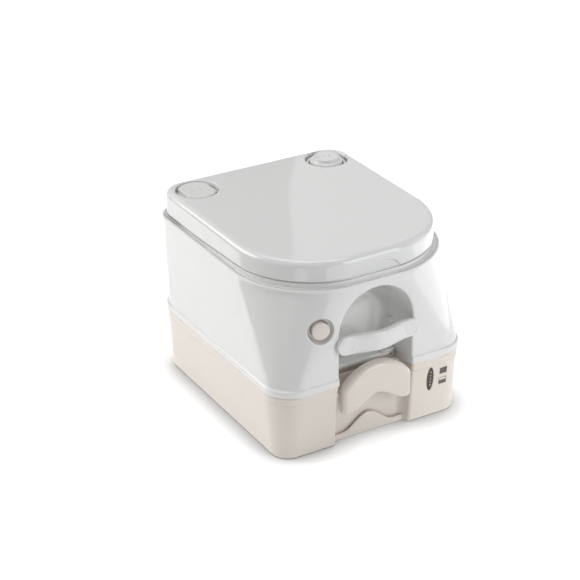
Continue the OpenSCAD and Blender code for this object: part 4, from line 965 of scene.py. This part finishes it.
def tank_plates():
    """Deck, floor and notch floor of the holding tank, the sill of the valve bay and the spout's neck."""
    inlet_r, neck_bore, neck_out, soft = 42.0, 15.0, 20.0, 0.3
    deck_in, deck_r, floor_in, floor_r = 2.6, 42.0, 13.5, 26.0
    deck = [tank_outline(deck_in, deck_r), circle(0, PORT_Y, inlet_r)]
    plate("tank_deck", deck, TANK_DECK - 4, TANK_DECK, soft, **ON_HOLDING_TANK)
    plate("tank_floor", [tank_outline(floor_in, floor_r, notch=False)], 0.05, 3, soft, **ON_HOLDING_TANK)
    notch = [box(NOTCH_LEFT + 0.1, NOTCH_RIGHT - 0.1, NOTCH_Y + 0.2, HALF_D - 6),
             circle(PIVOT_X, PIVOT_Y, neck_bore)]
    plate("notch_floor", notch, NOTCH_Z - 2.5, NOTCH_Z, soft, **ON_HOLDING_TANK)
    sill = box(2 - RECESS_HW, RECESS_HW - 2, RECESS_BACK_Y - 0.4, -151)
    plate("bay_sill", [sill], SEAM - 0.6, SEAM - 0.05, 0.12, **ON_HOLDING_TANK)
    # Painted shade: a dark beige strip under the ledge where the bay's wall lies in shade
    strip_low, strip_high, strip_back, strip_front = SEAM - 0.5, SEAM + 6.5, 155.4, 156.8
    strip = [(-46, strip_low), (61.5, strip_low), (61.5, strip_high), (-44, strip_high)]
    plate("bay_sill_front", [strip], strip_back, strip_front, 0.3, finish=painted_shade_beige, body="holding_tank",
          place=facing_front, slot="beige_gloss")
    neck = rounded_ring(neck_bore, neck_out, NOTCH_Z - 0.5, NOTCH_Z + 12, 0.6)
    lathe("spout_neck", neck, (PIVOT_X, PIVOT_Y), closed=True, **ON_HOLDING_TANK)


tank_plates()


def top_rim():
    """Flat rim of the holding tank round the valve bay: a band between the wall's top edge and the bay's
    wall, which goes down to the deck."""
    for side, s, rear_x in (("right", 1, NOTCH_RIGHT), ("left", -1, -NOTCH_LEFT)):
        rows = []
        for inset, z in ((1.9, SEAM - 0.05), (6.0, SEAM - 0.02), (6.0, TANK_DECK - 0.5)):
            corner = FOOT_R + 0.9 - inset
            path = body_plan(inset, corner, corner, 30)
            ahead = s * path[:, 0]
            front = path[(ahead > RECESS_HW + 1) & (path[:, 1] < 0)]
            rear = path[(ahead > rear_x + 1) & (path[:, 1] > 0)]
            front_end = [(s * (RECESS_HW + 0.5), path[:, 1].min())]
            rear_end = [(s * (rear_x + 0.5), path[:, 1].max())]
            order = [front_end, front, rear, rear_end] if s > 0 else [rear_end, rear, front, front_end]
            rows.append((z, resample(np.concatenate(order), 260)))
        wall = skin_of(f"tank_rim_{side}", [(rings_to_grid(rows), False, False)], **ON_HOLDING_TANK)
        thick = wall.modifiers.new("wall", "SOLIDIFY")
        thick.thickness = 0.6 * MM


top_rim()


# Level window, pictograms and lip

def on_tank_face(points, x, z):
    """Flat points (across, up, out of the face) laid on the tank's leaning front at x, z."""
    lean = math.atan2(TANK_LEAN, TANK_LEAN_HIGH)
    y = float(tank_inset(z)) - HALF_D
    across, up, out = points[:, 0], points[:, 1], points[:, 2]
    return np.stack([x + across, y - out * math.cos(lean) - up * math.sin(lean),
                     z + up * math.cos(lean) - out * math.sin(lean)], -1)


def level_window():
    """The oval glass and the upright row of five prisms on it."""
    glass_half_w, glass_half_h, glass_back, glass_front = 6.15, 20.5, -4, -0.7
    prism_pitch, prism_half_w, prism_half_h, prism_x = 5.6, 1.0, 1.5, 0.9

    def at_window(up, across=0.0):
        """Placing of a flat piece on the window, moved up and across."""
        return lambda p: on_tank_face(p + [across, up, 0], WINDOW_X, WINDOW_Z)

    plate("level_glass", [ellipse(glass_half_w, glass_half_h, 96, 0)], glass_back, glass_front, 0.4,
          finish=smoke_window, body="holding_tank", place=at_window(0), stands_for=("level_window",),
          slot="smoke_window")
    outline = box(-prism_half_w, prism_half_w, -prism_half_h, prism_half_h)
    for i in range(5):
        plate(f"level_prism_{i + 1}", [outline], -1.0, -0.2, 0.35, finish=prism_grey,
              body="holding_tank", place=at_window((i - 2) * prism_pitch, prism_x), slot="smoke_window")


level_window()


def pictogram_box(w, h):
    """Rectangle w by h with slightly rounded corners."""
    return plan_path(w / 2, -h / 2, h / 2, 0.6, 0.6, 6)[1:]


def pictograms():
    """A filled box, and below it an outlined box whose lower part is filled, printed on the tank's face."""
    filled = pictogram_box(13, 10.5)
    half = pictogram_box(13.4, 6.4)
    line = [pictogram_box(13.4, 11.4), pictogram_box(12.2, 10.2)[::-1]]
    for name, outlines, high, soft, x, z in (
            ("full_pictogram", [filled], 0.18, 0.05, 121.5, 76.5),
            ("half_pictogram_fill", [half], 0.18, 0.05, 121.2, 56.6),
            ("half_pictogram_line", line, 0.16, 0.03, 121.2, 58.9)):
        plate(name, outlines, 0, high, soft, finish=pictogram_ink, body="holding_tank",
              place=lambda p, x=x, z=z: on_tank_face(p, x, z))


pictograms()


def grip_lip():
    """The lip at the recess's foot: a plate whose top edge rises in a smooth hump, with rounded edges."""
    hw, low_z, hump_high, hump_half = 62.3, 9.0, 24.0, 46.0
    back, front, soft = 165.6, 169.2, 1.1
    x = np.linspace(hw, -hw, 90)
    top = np.stack([x, low_z + hump_high * hump(x / hump_half)], -1)
    outline = np.concatenate([[(-hw, 0), (hw, 0)], top])
    plate("grip_lip_skin", [outline], back, front, soft, place=facing_front, stands_for=("grip_lip",),
          **ON_HOLDING_TANK)


grip_lip()


# Lid and seat

LID_INSET, LID_EDGE_R, LID_WALL = 7.5, 9.0, 3.0
# Corner radii of the lid's plan where it is carried out to the flange
LID_FRONT_R, LID_REAR_R = RIM_FRONT_R + LID_INSET, RIM_REAR_R - 2 + LID_INSET
OPENING_R, OPENING_EDGE = 33.5, 1.5
LID_COUNT, OPENING_COUNT = 900, 120


def lid_plan(inset):
    """Plan of the lid, standing in from the flange by inset."""
    smallest_front, smallest_rear = 17.0, 8.5
    front_r = max(LID_FRONT_R - inset, smallest_front)
    return body_plan(inset, front_r, max(LID_REAR_R - inset, smallest_rear), 60)


def lid_height(inset):
    """Crown of the lid at a distance in from the flange: a parabola up to the crown's height."""
    crown, reach = 1.0, 100.0
    u = np.clip((inset - LID_INSET - LID_EDGE_R) / reach, 0, 1)
    return LID_TOP + crown * (1 - (1 - u) ** 2)


def lid_edge_low(p):
    """Lower edge of the lid's skirt: raised by two windows over the hinges."""
    near_x, far_x, soft, window_z = 37.4, 72.6, 1.2, 281.5
    line = skirt_line(p[:, 1])
    ax = np.abs(p[:, 0])
    window = np.clip((ax - near_x) / soft, 0, 1) * np.clip((far_x - ax) / soft, 0, 1)
    return line + np.where(p[:, 1] > 150, (window_z - line) * window, 0)


def finger_scoop(p, z, inset):
    """How far the skirt's outer face is pushed in at plan points p and height z: a shallow scoop under an
    arch in front that grows deeper towards the arch. The inner face follows where the scoop is deep."""
    half, high, edge, shallow, more = 40.0, 16.0, 1.1, 2.2, 1.8
    low = skirt_line(p[:, 1])
    arch = low + high * np.sqrt(np.maximum(0, 1 - (p[:, 0] / half) ** 2))
    deep = (shallow + more * np.clip((z - low) / high, 0, 1)) * smooth((arch - z) / edge)
    deep = np.where((p[:, 1] < 0) & (np.abs(p[:, 0]) < half), deep, 0)
    inner = np.maximum(0, deep - shallow)
    if inset > LID_INSET + LID_WALL - 0.3:
        return inner
    return np.minimum(deep, max(0.0, LID_INSET + LID_WALL - 0.4 - inset) + inner)


def lid_skirt():
    """Rows of the lid's skirt: the lid's plan carried from the underside down the inner face, round the
    lower edge, up the outer face and over the rounded upper edge."""
    edge_z, under_z = LID_TOP - LID_EDGE_R, LID_TOP - LID_WALL
    inner_r = LID_EDGE_R - LID_WALL

    def row(inset, lift, level=None):
        """Row at a share of the skirt's height, or at one level."""
        p = resample(lid_plan(inset), LID_COUNT, True)
        low = lid_edge_low(p)
        z = low + lift * (edge_z - low) if level is None else np.full(LID_COUNT, level)
        return np.column_stack([p[:, 0], p[:, 1] + finger_scoop(p, z, inset), z])

    inside = LID_INSET + LID_WALL
    rows = [np.column_stack([resample(lid_plan(20), LID_COUNT, True), np.full(LID_COUNT, under_z)])]
    rows += [row(LID_INSET + LID_EDGE_R - inner_r * s, 0, edge_z + inner_r * c) for c, s in fillet(5)]
    rows += [row(inside, t) for t in np.linspace(0.97, 0.05, 24)]
    rows += [row(inside - 0.2, 0.015), row(inside - 0.8, 0.0), row(LID_INSET + 0.8, 0.0)]
    rows += [row(LID_INSET + 0.25, 0.015)]
    rows += [row(LID_INSET, t) for t in np.linspace(0.04, 0.97, 34)]
    rows += [row(LID_INSET + LID_EDGE_R * (1 - c), 0, LID_TOP - LID_EDGE_R * (1 - s)) for c, s in fillet(12)]
    return np.stack(rows)


def from_openings(p):
    """Distance of points from the middle of the nearer opening."""
    return np.hypot(np.abs(p[:, 0]) - CAP_X, p[:, 1] - CAP_Y)


def lid_top(edge_loop):
    """Flat triangles of the lid's top: loops at growing distances from its edge, a few points in the middle,
    and rings round both openings, joined by a triangulation that leaves the openings free."""
    insets = (18, 20.5, 24, 29, 36, 45, 56, 70, 86, 104, 120)
    loops = [resample(lid_plan(inset), max(60, int(LID_COUNT - 7 * inset)), True) for inset in insets]
    loops.append(np.array([[x, y] for y in np.linspace(-60, 90, 9) for x in (-20, 0, 20)]))
    inside = np.concatenate(loops)
    inside = inside[from_openings(inside) > OPENING_R + 2.7]
    points = [tuple(p) for p in edge_loop] + [tuple(p) for p in inside]
    edges = [(i, (i + 1) % LID_COUNT) for i in range(LID_COUNT)]
    for s in (-1, 1):
        for out in (0, 0.2, 0.7, OPENING_EDGE):
            first = len(points)
            points += [tuple(p) for p in circle(s * CAP_X, CAP_Y, OPENING_R + out, OPENING_COUNT)]
            edges += [(first + i, first + (i + 1) % OPENING_COUNT) for i in range(OPENING_COUNT)]
    verts, _, tris, _, _, _ = delaunay_2d_cdt([Vector(p) for p in points], edges, [], 1, 1e-5)
    flat = np.array([(v.x, v.y) for v in verts])
    tris = np.array([t for t in tris if len(t) == 3])
    return flat, tris[from_openings(flat[tris].mean(1)) > OPENING_R - 0.05]


def from_flange(p):
    """Distance of points in from the flange's plan, with round corners in front and at the rear."""
    ax, y = np.abs(p[:, 0]), p[:, 1]
    inset = np.minimum(HALF_W - ax, np.minimum(y + HALF_D, HALF_D - y))
    for r, sign in ((LID_FRONT_R, -1), (LID_REAR_R, 1)):
        dx, dy = ax - (HALF_W - r), sign * y - (HALF_D - r)
        inset = np.where((dx > 0) & (dy > 0), r - np.hypot(dx, dy), inset)
    return inset


def lid():
    """The lid. Its skirt and rounded edge are the lid's plan carried up a profile. Its top is filled inside
    the edge, with rings round the two openings, and each point's height is the crown at its distance from
    the flange, rounded off at the openings. A short collar hangs below each opening."""
    under_z = LID_TOP - LID_WALL
    rows = lid_skirt()
    edge_loop = rows[-1][:, :2]
    flat, tris = lid_top(edge_loop)
    t = np.clip((OPENING_R + OPENING_EDGE - from_openings(flat)) / OPENING_EDGE, 0, 1)
    z = lid_height(from_flange(flat)) - OPENING_EDGE * (1 - np.sqrt(1 - t ** 2))
    start = rows.size // 3
    faces = grid_faces(len(rows), LID_COUNT, False, True)
    faces += (tris + start).tolist()
    faces += (tris[:, ::-1] + start + len(flat)).tolist()
    under = np.column_stack([flat, np.full(len(flat), under_z)])
    points = [rows.reshape(-1, 3), np.column_stack([flat, z]), under]
    start += 2 * len(flat)
    # Inner edge of the underside meets the skirt's first row through a narrow ruled strip
    strip = np.stack([rows[0], np.column_stack([edge_loop, np.full(LID_COUNT, under_z)])])
    faces += grid_faces(2, LID_COUNT, False, True, start)
    points.append(strip.reshape(-1, 3))
    start += 2 * LID_COUNT
    # How far out and down each row of a collar lies
    collar = ((0, 0), (0, 6.2), (0.2, 6.7), (0.7, 7.0), (1.1, 7.0), (1.6, 6.7), (1.8, 6.2), (1.8, 0))
    for s in (-1, 1):
        ring = circle(s * CAP_X, CAP_Y, OPENING_R, OPENING_COUNT)
        near = np.array([z[np.argmin(np.hypot(flat[:, 0] - p[0], flat[:, 1] - p[1]))] for p in ring])
        wall = [np.column_stack([ring, near]), np.column_stack([ring, (near + under_z) / 2])]
        for out, down in collar:
            loop = circle(s * CAP_X, CAP_Y, OPENING_R + out, OPENING_COUNT)
            wall.append(np.column_stack([loop, np.full(OPENING_COUNT, under_z - down)]))
        wall = np.stack(wall)
        faces += grid_faces(len(wall), OPENING_COUNT, False, True, start)
        points.append(wall.reshape(-1, 3))
        start += wall.size // 3
    add_mesh("lid_shell", np.concatenate(points), faces, stands_for=("lid",), merge=2e-6, **ON_LID)
    ear_r, ear_top, ear_back = 6.2, LID_TOP - 2.7, HINGE_Y + 3.3
    ear = hinge_eye(ear_r, -180, 0, [(ear_back, HINGE_Z), (ear_back, ear_top), (HINGE_Y - ear_r, ear_top)])
    for i, x in enumerate((55.2, -62.2)):
        plate(f"lid_ear_{i + 1}", [ear], x, x + HINGE_WIDE, HINGE_SOFT, place=upright, **ON_LID)


lid()


def seat():
    """The seat: between its rounded plan and its oval opening, each point at the same angle about the
    opening's middle, over a profile that falls a little towards the opening and rounds both edges."""
    opening_x, opening_y, low_z, top_z, fall = 90.0, 104.0, 266.0, 280.0, 2.2
    foot_r, out_r, in_r = 1.5, 5.5, 4.5
    half_w, front, rear, front_r, rear_r = 150.0, -176.0, 104.0, 118.0, 56.0
    n = 240
    t = turn_angles(n)
    outer_path = resample(plan_path(half_w, front, rear, front_r, rear_r, 60), 4000, True)
    base = np.mod(np.arctan2(outer_path[:, 1] - PORT_Y, outer_path[:, 0]), 2 * np.pi)
    order = np.argsort(base)
    outer = np.stack([np.interp(t, base[order], outer_path[order, k], period=2 * np.pi) for k in (0, 1)], -1)
    from_middle = 1 / np.sqrt((np.cos(t) / opening_x) ** 2 + (np.sin(t) / opening_y) ** 2)
    inner = np.stack([from_middle * np.cos(t), PORT_Y + from_middle * np.sin(t)], -1)
    q = fillet(6)
    width = np.linalg.norm(outer - inner, axis=1)[:, None]
    in_z = top_z - fall
    # Each row's share of the way from the outer plan to the opening, and its height
    profile = [(foot_r * (1 - s) / width, low_z + foot_r * (1 - c)) for c, s in q]
    profile += [(out_r * (1 - c) / width, top_z - out_r * (1 - s)) for c, s in q]
    profile += [(out_r / width + f * (1 - (out_r + in_r) / width), top_z - fall * f ** 2)
                for f in (0.2, 0.4, 0.6, 0.8)]
    profile += [(1 - in_r * (1 - s) / width, in_z - in_r * (1 - c)) for c, s in q]
    profile += [(1 - foot_r * (1 - c) / width, low_z + foot_r * (1 - s)) for c, s in q]
    rows = [np.column_stack([outer * (1 - f) + inner * f, np.full(n, z)]) for f, z in profile]
    skin_of("seat_ring", [(np.stack(rows), True, True)], stands_for=("seat",), **ON_SEAT)
    arm_r, arm_front = 6.2, 97.0
    arm = hinge_eye(arm_r, -90, 90, [
        (arm_front, HINGE_Z + arm_r), (arm_front, HINGE_Z - 5.6), (HINGE_Y, HINGE_Z - arm_r)])
    for i, x in enumerate((47.6, -54.6)):
        plate(f"seat_arm_{i + 1}", [arm], x, x + HINGE_WIDE, HINGE_SOFT, place=upright, **ON_SEAT)


seat()


# Caps, pump and latch

FILL_TOP, PUMP_TOP = 302.0, 307.85


def fill_cap():
    """The filler cap: a disc with a rounded rim whose left and right sides step down, as a height over
    radius and angle, then the skirt below."""
    n, step, step_x, step_soft = 288, 5.5, 22.6, 1.0
    cap_r, rim, skirt_low, skirt_edge = 29.5, 1.2, 294.0, 0.9
    a = turn_angles(n)

    def sunk(r):
        """How far a point at radius r lies below the raised middle."""
        return step * smooth((np.abs(r * np.cos(a)) - step_x) / step_soft)

    # Few rings over the flat middle, many where the sides step down
    radii = np.concatenate([[0, 8, 16, 20, 21.5], np.linspace(22.2, 28.2, 37)])
    rows = [(r, FILL_TOP - sunk(r)) for r in radii]
    for c, s in fillet(5):
        r = cap_r - rim * (1 - s)
        rows.append((r, FILL_TOP - rim * (1 - c) - sunk(r)))
    rows += [(cap_r, np.full(n, skirt_low + 0.8)), (cap_r, np.full(n, skirt_low))]
    rows += [(cap_r - skirt_edge * (1 - c), np.full(n, skirt_low - skirt_edge * s)) for c, s in fillet(3)]
    # The plug below: outer face, rounded foot, inner face and the underside of the cap
    plug = ((28, 293), (28, 276.7), (27.6, 276.1), (26, 276.1), (25.3, 276.7), (25.3, 288.1), (0, 288.1))
    rows += [(r, np.full(n, z)) for r, z in plug]
    grid = np.stack([np.stack([r * np.cos(a) - CAP_X, r * np.sin(a) + CAP_Y, z], -1) for r, z in rows])
    skin_of("fill_cap_shell", [(grid, False, True)], stands_for=("fill_cap",), **ON_FILL_CAP)


fill_cap()


def pump_cap():
    """The pump's button: a raised disc on a wider one, with rounded edges, and its skirt and bore below."""
    edge, inner_foot = 1.6, 0.9
    disc_r, disc_low, wide_r, wide_top = 20.0, 302.0, 26.0, 302.0
    q = fillet(6)
    # Skirt outside, rounded foot, bore and the underside
    below = [(wide_r, 290), (wide_r, 281.6), (25.4, 281), (18.9, 281), (18.3, 281.6), (18.3, 299), (0, 299)]
    lathe("pump_cap",
          [(0, PUMP_TOP)] + [(disc_r - edge * (1 - s), PUMP_TOP - edge * (1 - c)) for c, s in q]
          + [(disc_r, disc_low + 1.2)]
          + [(disc_r + inner_foot * (1 - c), disc_low + inner_foot * (1 - s)) for c, s in q]
          + [(wide_r - edge * (1 - s), wide_top - edge * (1 - c)) for c, s in q] + below,
          (CAP_X, CAP_Y), stands_for=("pump_button",), **ON_PUMP)


pump_cap()


def rings_and_dots():
    """A plain ring on the deck round each cap, and two small dots on each cap."""
    ring_r, filler_bore, collar_bore = 31.7, 30.3, 27.4
    filler = rounded_ring(filler_bore, ring_r, RIM - 0.5, 296.0, 0.5)
    lathe("filler_ring", filler, (-CAP_X, CAP_Y), closed=True, **RING_ON_FLUSH_TANK)
    collar = rounded_ring(collar_bore, ring_r, 286.5, 297.0)
    lathe("collar_top", collar, (CAP_X, CAP_Y), closed=True, **RING_ON_FLUSH_TANK)
    apart, dot_r, proud, deep = 5.5, 1.1, 0.12, 0.6
    for name, body, x, z in (
            ("fill_dot", "fill_cap", -CAP_X, FILL_TOP), ("pump_dot", "pump_button", CAP_X, PUMP_TOP)):
        for i, side in enumerate((-apart, apart)):
            plate(f"{name}_{i + 1}", [circle(x + side, CAP_Y, dot_r, 24)], z - deep, z + proud, 0.1,
                  finish=grey_plastic, body=body, slot="white_gloss")


rings_and_dots()


def latch_button():
    """The latch's button: a shallow domed face with a rounded edge, turned about the latch's leaning axis."""
    button_r, edge, face = 13.2, 1.6, 0.6
    profile = [(0, 0.0), (4, 0.05), (7.5, 0.2), (10, 0.45)]
    profile += [(button_r - edge * (1 - s), face + edge * (1 - c)) for c, s in fillet(6)]
    profile += [(button_r, 11.4), (button_r - 0.6, 12), (4, 12), (4, 22), (0, 22)]
    across, up, deep = turned(profile, 96)
    grid = along_latch(across, LATCH_Z + up, deep)
    skin_of("latch_push", [(grid, False, True)], stands_for=("latch_button",), **ON_LATCH)


latch_button()


def recess_stud():
    """Round stud with a rounded face on the right wall of the recess, turned about an axis along x."""
    stud_r, edge, long, wall_x, y, z = 5.0, 1.2, 8.0, 48.3, -144.0, 163.0
    profile = [(0, 0)] + [(stud_r - edge * (1 - s), edge * (1 - c)) for c, s in fillet(6)] + [(stud_r, long)]
    along_y, up, deep = turned(profile, 64)
    grid = np.stack([wall_x + deep, y + along_y, z + up], -1)
    skin_of("recess_stud", [(grid, False, True)], outward=False, **ON_FLUSH_TANK)


recess_stud()


# CAD nodes that show as they are

NODE_SLOT = {part["node"]: part["material_slot"] for part in frame["record"]["subparts"]}


def dress_node(node, finish):
    """Finish on a CAD node, its loose triangles welded and its edges softened."""
    if node.data.materials:
        for i in range(len(node.data.materials)):
            node.data.materials[i] = finish
    else:
        node.data.materials.append(finish)
    weld = node.modifiers.new("weld", "WELD")
    weld.merge_threshold = 0.005 * MM
    soften = node.modifiers.new("soft_edges", "BEVEL")
    soften.width = 0.4 * MM
    soften.segments = 2
    soften.angle_limit = math.radians(35)
    soften.harden_normals = True


for name, node in frame["nodes"].items():
    if not node.hide_render:
        dress_node(node, SLOT_FINISH[NODE_SLOT[name]])


# Camera, room, floor and lamps, in metres

def look_from():
    """The photograph's camera: 31 degrees to the left of the front, 27 degrees up."""
    az, el, dist, aim_z = math.radians(-31.14), math.radians(27.41), 2.6494, 0.150
    back = Vector((math.sin(az) * math.cos(el), -math.cos(az) * math.cos(el), math.sin(el)))
    cam = bpy.data.objects.new("camera", bpy.data.cameras.new("camera"))
    bpy.context.scene.collection.objects.link(cam)
    cam.location = Vector((0, 0, aim_z)) + dist * back
    cam.rotation_mode = "QUATERNION"
    cam.rotation_quaternion = (-back).to_track_quat("-Z", "Y")
    cam.data.sensor_width = 36
    cam.data.lens = 107.6
    cam.data.shift_x = -0.0337
    cam.data.shift_y = 0.0116
    cam.data.clip_start, cam.data.clip_end = 0.05, 40
    bpy.context.scene.camera = cam


look_from()


def room(strength):
    """Plain white for the camera and for glass, and soft white light of the given strength for the rest."""
    world = bpy.data.worlds.new("room")
    bpy.context.scene.world = world
    world.use_nodes = True
    n, link = world.node_tree.nodes, world.node_tree.links.new
    n.clear()
    path = n.new("ShaderNodeLightPath")
    seen = n.new("ShaderNodeMath")
    seen.operation = "MAXIMUM"
    link(path.outputs["Is Camera Ray"], seen.inputs[0])
    link(path.outputs["Is Transmission Ray"], seen.inputs[1])
    white = n.new("ShaderNodeBackground")
    rest = n.new("ShaderNodeBackground")
    for kind, value in ((white, 1.0), (rest, strength)):
        kind.inputs["Color"].default_value = (1, 1, 1, 1)
        kind.inputs["Strength"].default_value = value
    mix = n.new("ShaderNodeMixShader")
    link(seen.outputs[0], mix.inputs["Fac"])
    link(rest.outputs[0], mix.inputs[1])
    link(white.outputs[0], mix.inputs[2])
    out = n.new("ShaderNodeOutputWorld")
    link(mix.outputs[0], out.inputs["Surface"])


room(strength=0.32)

# Edges of the table top, strengths of the glows and of the front's lift, and width of the soft borders
TABLE_LEFT, TABLE_FRONT, TABLE_NEAR, TABLE_RIGHT = -0.55, -0.62, -0.17, 0.6
TABLE_GLOW, FAR_GLOW, FLOOR_GLOW, RIGHT_GLOW, BOUNCE = 0.3, 0.12, 0.5, 0.9, 0.5
FLOOR_TONE, TABLE_SOFT, STRIP_SOFT = 0.93, 0.015, 0.012
# Where the front's lift begins, how far from the object the painted contact shadow reaches, and the far
# floor's further glow
LIFT_LEFT, LIFT_LEFT_SOFT, LIFT_FRONT, LIFT_FRONT_SOFT = 0.05, 0.12, -0.65, 0.08
CONTACT_SHADOW_REACH, RUN_OUT_FROM, RUN_OUT_TO, RUN_OUT_GLOW = 0.045, 0.8, 1.8, 0.6


def floor():
    """Plain pale floor that keeps the object's shadow, with a painted contact shadow near the object where
    the camera sees it. The glossy faces see a bright table top on it that ends to the left and in front, with
    darker ground beyond and a brighter strip to the right, and the matt light of the front gets a lift from
    the table in front."""
    mesh = bpy.data.meshes.new("floor")
    half = 6.0
    mesh.from_pydata([(x, y, 0) for x, y in box(-half, half, -half, half)], [], [(0, 1, 2, 3)])
    made = bpy.data.materials.new("floor_white")
    made.use_nodes = True
    n, link = made.node_tree.nodes, made.node_tree.links.new
    n.clear()
    place = n.new("ShaderNodeTexCoord")
    parts = n.new("ShaderNodeSeparateXYZ")
    link(place.outputs["Object"], parts.inputs[0])

    def beyond(axis, edge, soft):
        """1 where the place along an axis is past the edge, 0 before it, over a soft border."""
        step = n.new("ShaderNodeMapRange")
        step.inputs["From Min"].default_value = edge - soft
        step.inputs["From Max"].default_value = edge + soft
        link(parts.outputs[axis], step.inputs["Value"])
        return step.outputs["Result"]

    def math_of(one, other, operation):
        """Two values multiplied or added, or the larger of them."""
        made_of = n.new("ShaderNodeMath")
        made_of.operation = operation
        for i, value in enumerate((one, other)):
            if isinstance(value, float):
                made_of.inputs[i].default_value = value
            else:
                link(value, made_of.inputs[i])
        return made_of.outputs[0]

    def glow(strength):
        """Plain white glow of a fixed or a changing strength."""
        made_glow = n.new("ShaderNodeEmission")
        if isinstance(strength, float):
            made_glow.inputs["Strength"].default_value = strength
        else:
            link(strength, made_glow.inputs["Strength"])
        return made_glow

    def both(one, other):
        """Sum of two shaders."""
        total = n.new("ShaderNodeAddShader")
        link(one.outputs[0], total.inputs[0])
        link(other.outputs[0], total.inputs[1])
        return total

    def choose(fac, low, high):
        """Shader low where fac is 0 and high where it is 1."""
        mix = n.new("ShaderNodeMixShader")
        link(fac, mix.inputs["Fac"])
        link(low.outputs[0], mix.inputs[1])
        link(high.outputs[0], mix.inputs[2])
        return mix

    def shaded_floor():
        """The floor as the camera sees it: its own tone and a white glow, both darkened in the last
        centimetres before the object by a painted contact shadow that follows how far the floor is shut in,
        and a further glow where it runs on beyond the lamps."""
        # Painted contact shadow: ambient occlusion darkens the floor's tone and glow near the object
        contact_shadow = n.new("ShaderNodeAmbientOcclusion")
        contact_shadow.samples = 16
        contact_shadow.inputs["Distance"].default_value = CONTACT_SHADOW_REACH
        tone = n.new("ShaderNodeBsdfDiffuse")
        link(math_of(contact_shadow.outputs["AO"], FLOOR_TONE, "MULTIPLY"), tone.inputs["Color"])
        near = glow(math_of(contact_shadow.outputs["AO"], FLOOR_GLOW, "MULTIPLY"))
        away = n.new("ShaderNodeVectorMath")
        away.operation = "LENGTH"
        link(place.outputs["Object"], away.inputs[0])
        far = n.new("ShaderNodeMapRange")
        far.inputs["From Min"].default_value = RUN_OUT_FROM
        far.inputs["From Max"].default_value = RUN_OUT_TO
        far.inputs["To Max"].default_value = RUN_OUT_GLOW
        link(away.outputs["Value"], far.inputs["Value"])
        return both(both(tone, near), glow(far.outputs["Result"]))

    past_front = math_of(beyond("Y", TABLE_FRONT, TABLE_SOFT), beyond("X", TABLE_NEAR, TABLE_SOFT), "MAXIMUM")
    on_table = math_of(beyond("X", TABLE_LEFT, TABLE_SOFT), past_front, "MULTIPLY")
    strip = math_of(beyond("X", TABLE_RIGHT, STRIP_SOFT), RIGHT_GLOW, "MULTIPLY")
    lift_x, lift_y = beyond("X", LIFT_LEFT, LIFT_LEFT_SOFT), beyond("Y", LIFT_FRONT, LIFT_FRONT_SOFT)
    in_front = math_of(lift_x, lift_y, "MULTIPLY")
    plain = n.new("ShaderNodeBsdfDiffuse")
    plain.inputs["Color"].default_value = (FLOOR_TONE, FLOOR_TONE, FLOOR_TONE, 1)
    mirrored = choose(on_table, glow(FAR_GLOW), both(plain, glow(math_of(strip, TABLE_GLOW, "ADD"))))
    matt = both(plain, glow(math_of(in_front, BOUNCE, "MULTIPLY")))
    path = n.new("ShaderNodeLightPath")
    rest = choose(path.outputs["Is Glossy Ray"], matt, mirrored)
    final = choose(path.outputs["Is Camera Ray"], rest, shaded_floor())
    out = n.new("ShaderNodeOutputMaterial")
    link(final.outputs[0], out.inputs["Surface"])
    mesh.materials.append(made)
    piece = bpy.data.objects.new("floor", mesh)
    bpy.context.scene.collection.objects.link(piece)


floor()


def soft_lamp(name, place, aim, width, height, power, tint=(1, 1, 1)):
    """Large lamp at a place, aimed at a point."""
    data = bpy.data.lights.new(name, "AREA")
    data.shape = "RECTANGLE"
    data.size, data.size_y = width, height
    data.energy = power
    data.color = tint
    lamp = bpy.data.objects.new(name, data)
    bpy.context.scene.collection.objects.link(lamp)
    lamp.location = place
    lamp.rotation_mode = "QUATERNION"
    lamp.rotation_quaternion = (Vector(aim) - Vector(place)).to_track_quat("-Z", "Y")


COOL = (0.95, 0.975, 1)
soft_lamp("top_lamp", (0.0, 0.2, 2.4), (0, 0, 0.15), 1.8, 1.8, 17.5)
soft_lamp("left_lamp", (-2.0, 1.35, 1.2), (0, 0, 0.15), 2.0, 1.6, 36)
soft_lamp("front_lamp", (1.0, -2.3, 1.0), (0, 0, 0.12), 1.2, 1.6, 19, COOL)
soft_lamp("right_lamp", (2.3, -0.7, 1.0), (0, 0, 0.12), 1.4, 1.6, 4, COOL)
soft_lamp("rear_panel", (2.13, 1.82, 1.5), (0, 0, 1.5), 2.0, 1.5, 3.7)

bpy.context.scene.view_settings.view_transform = "Standard"
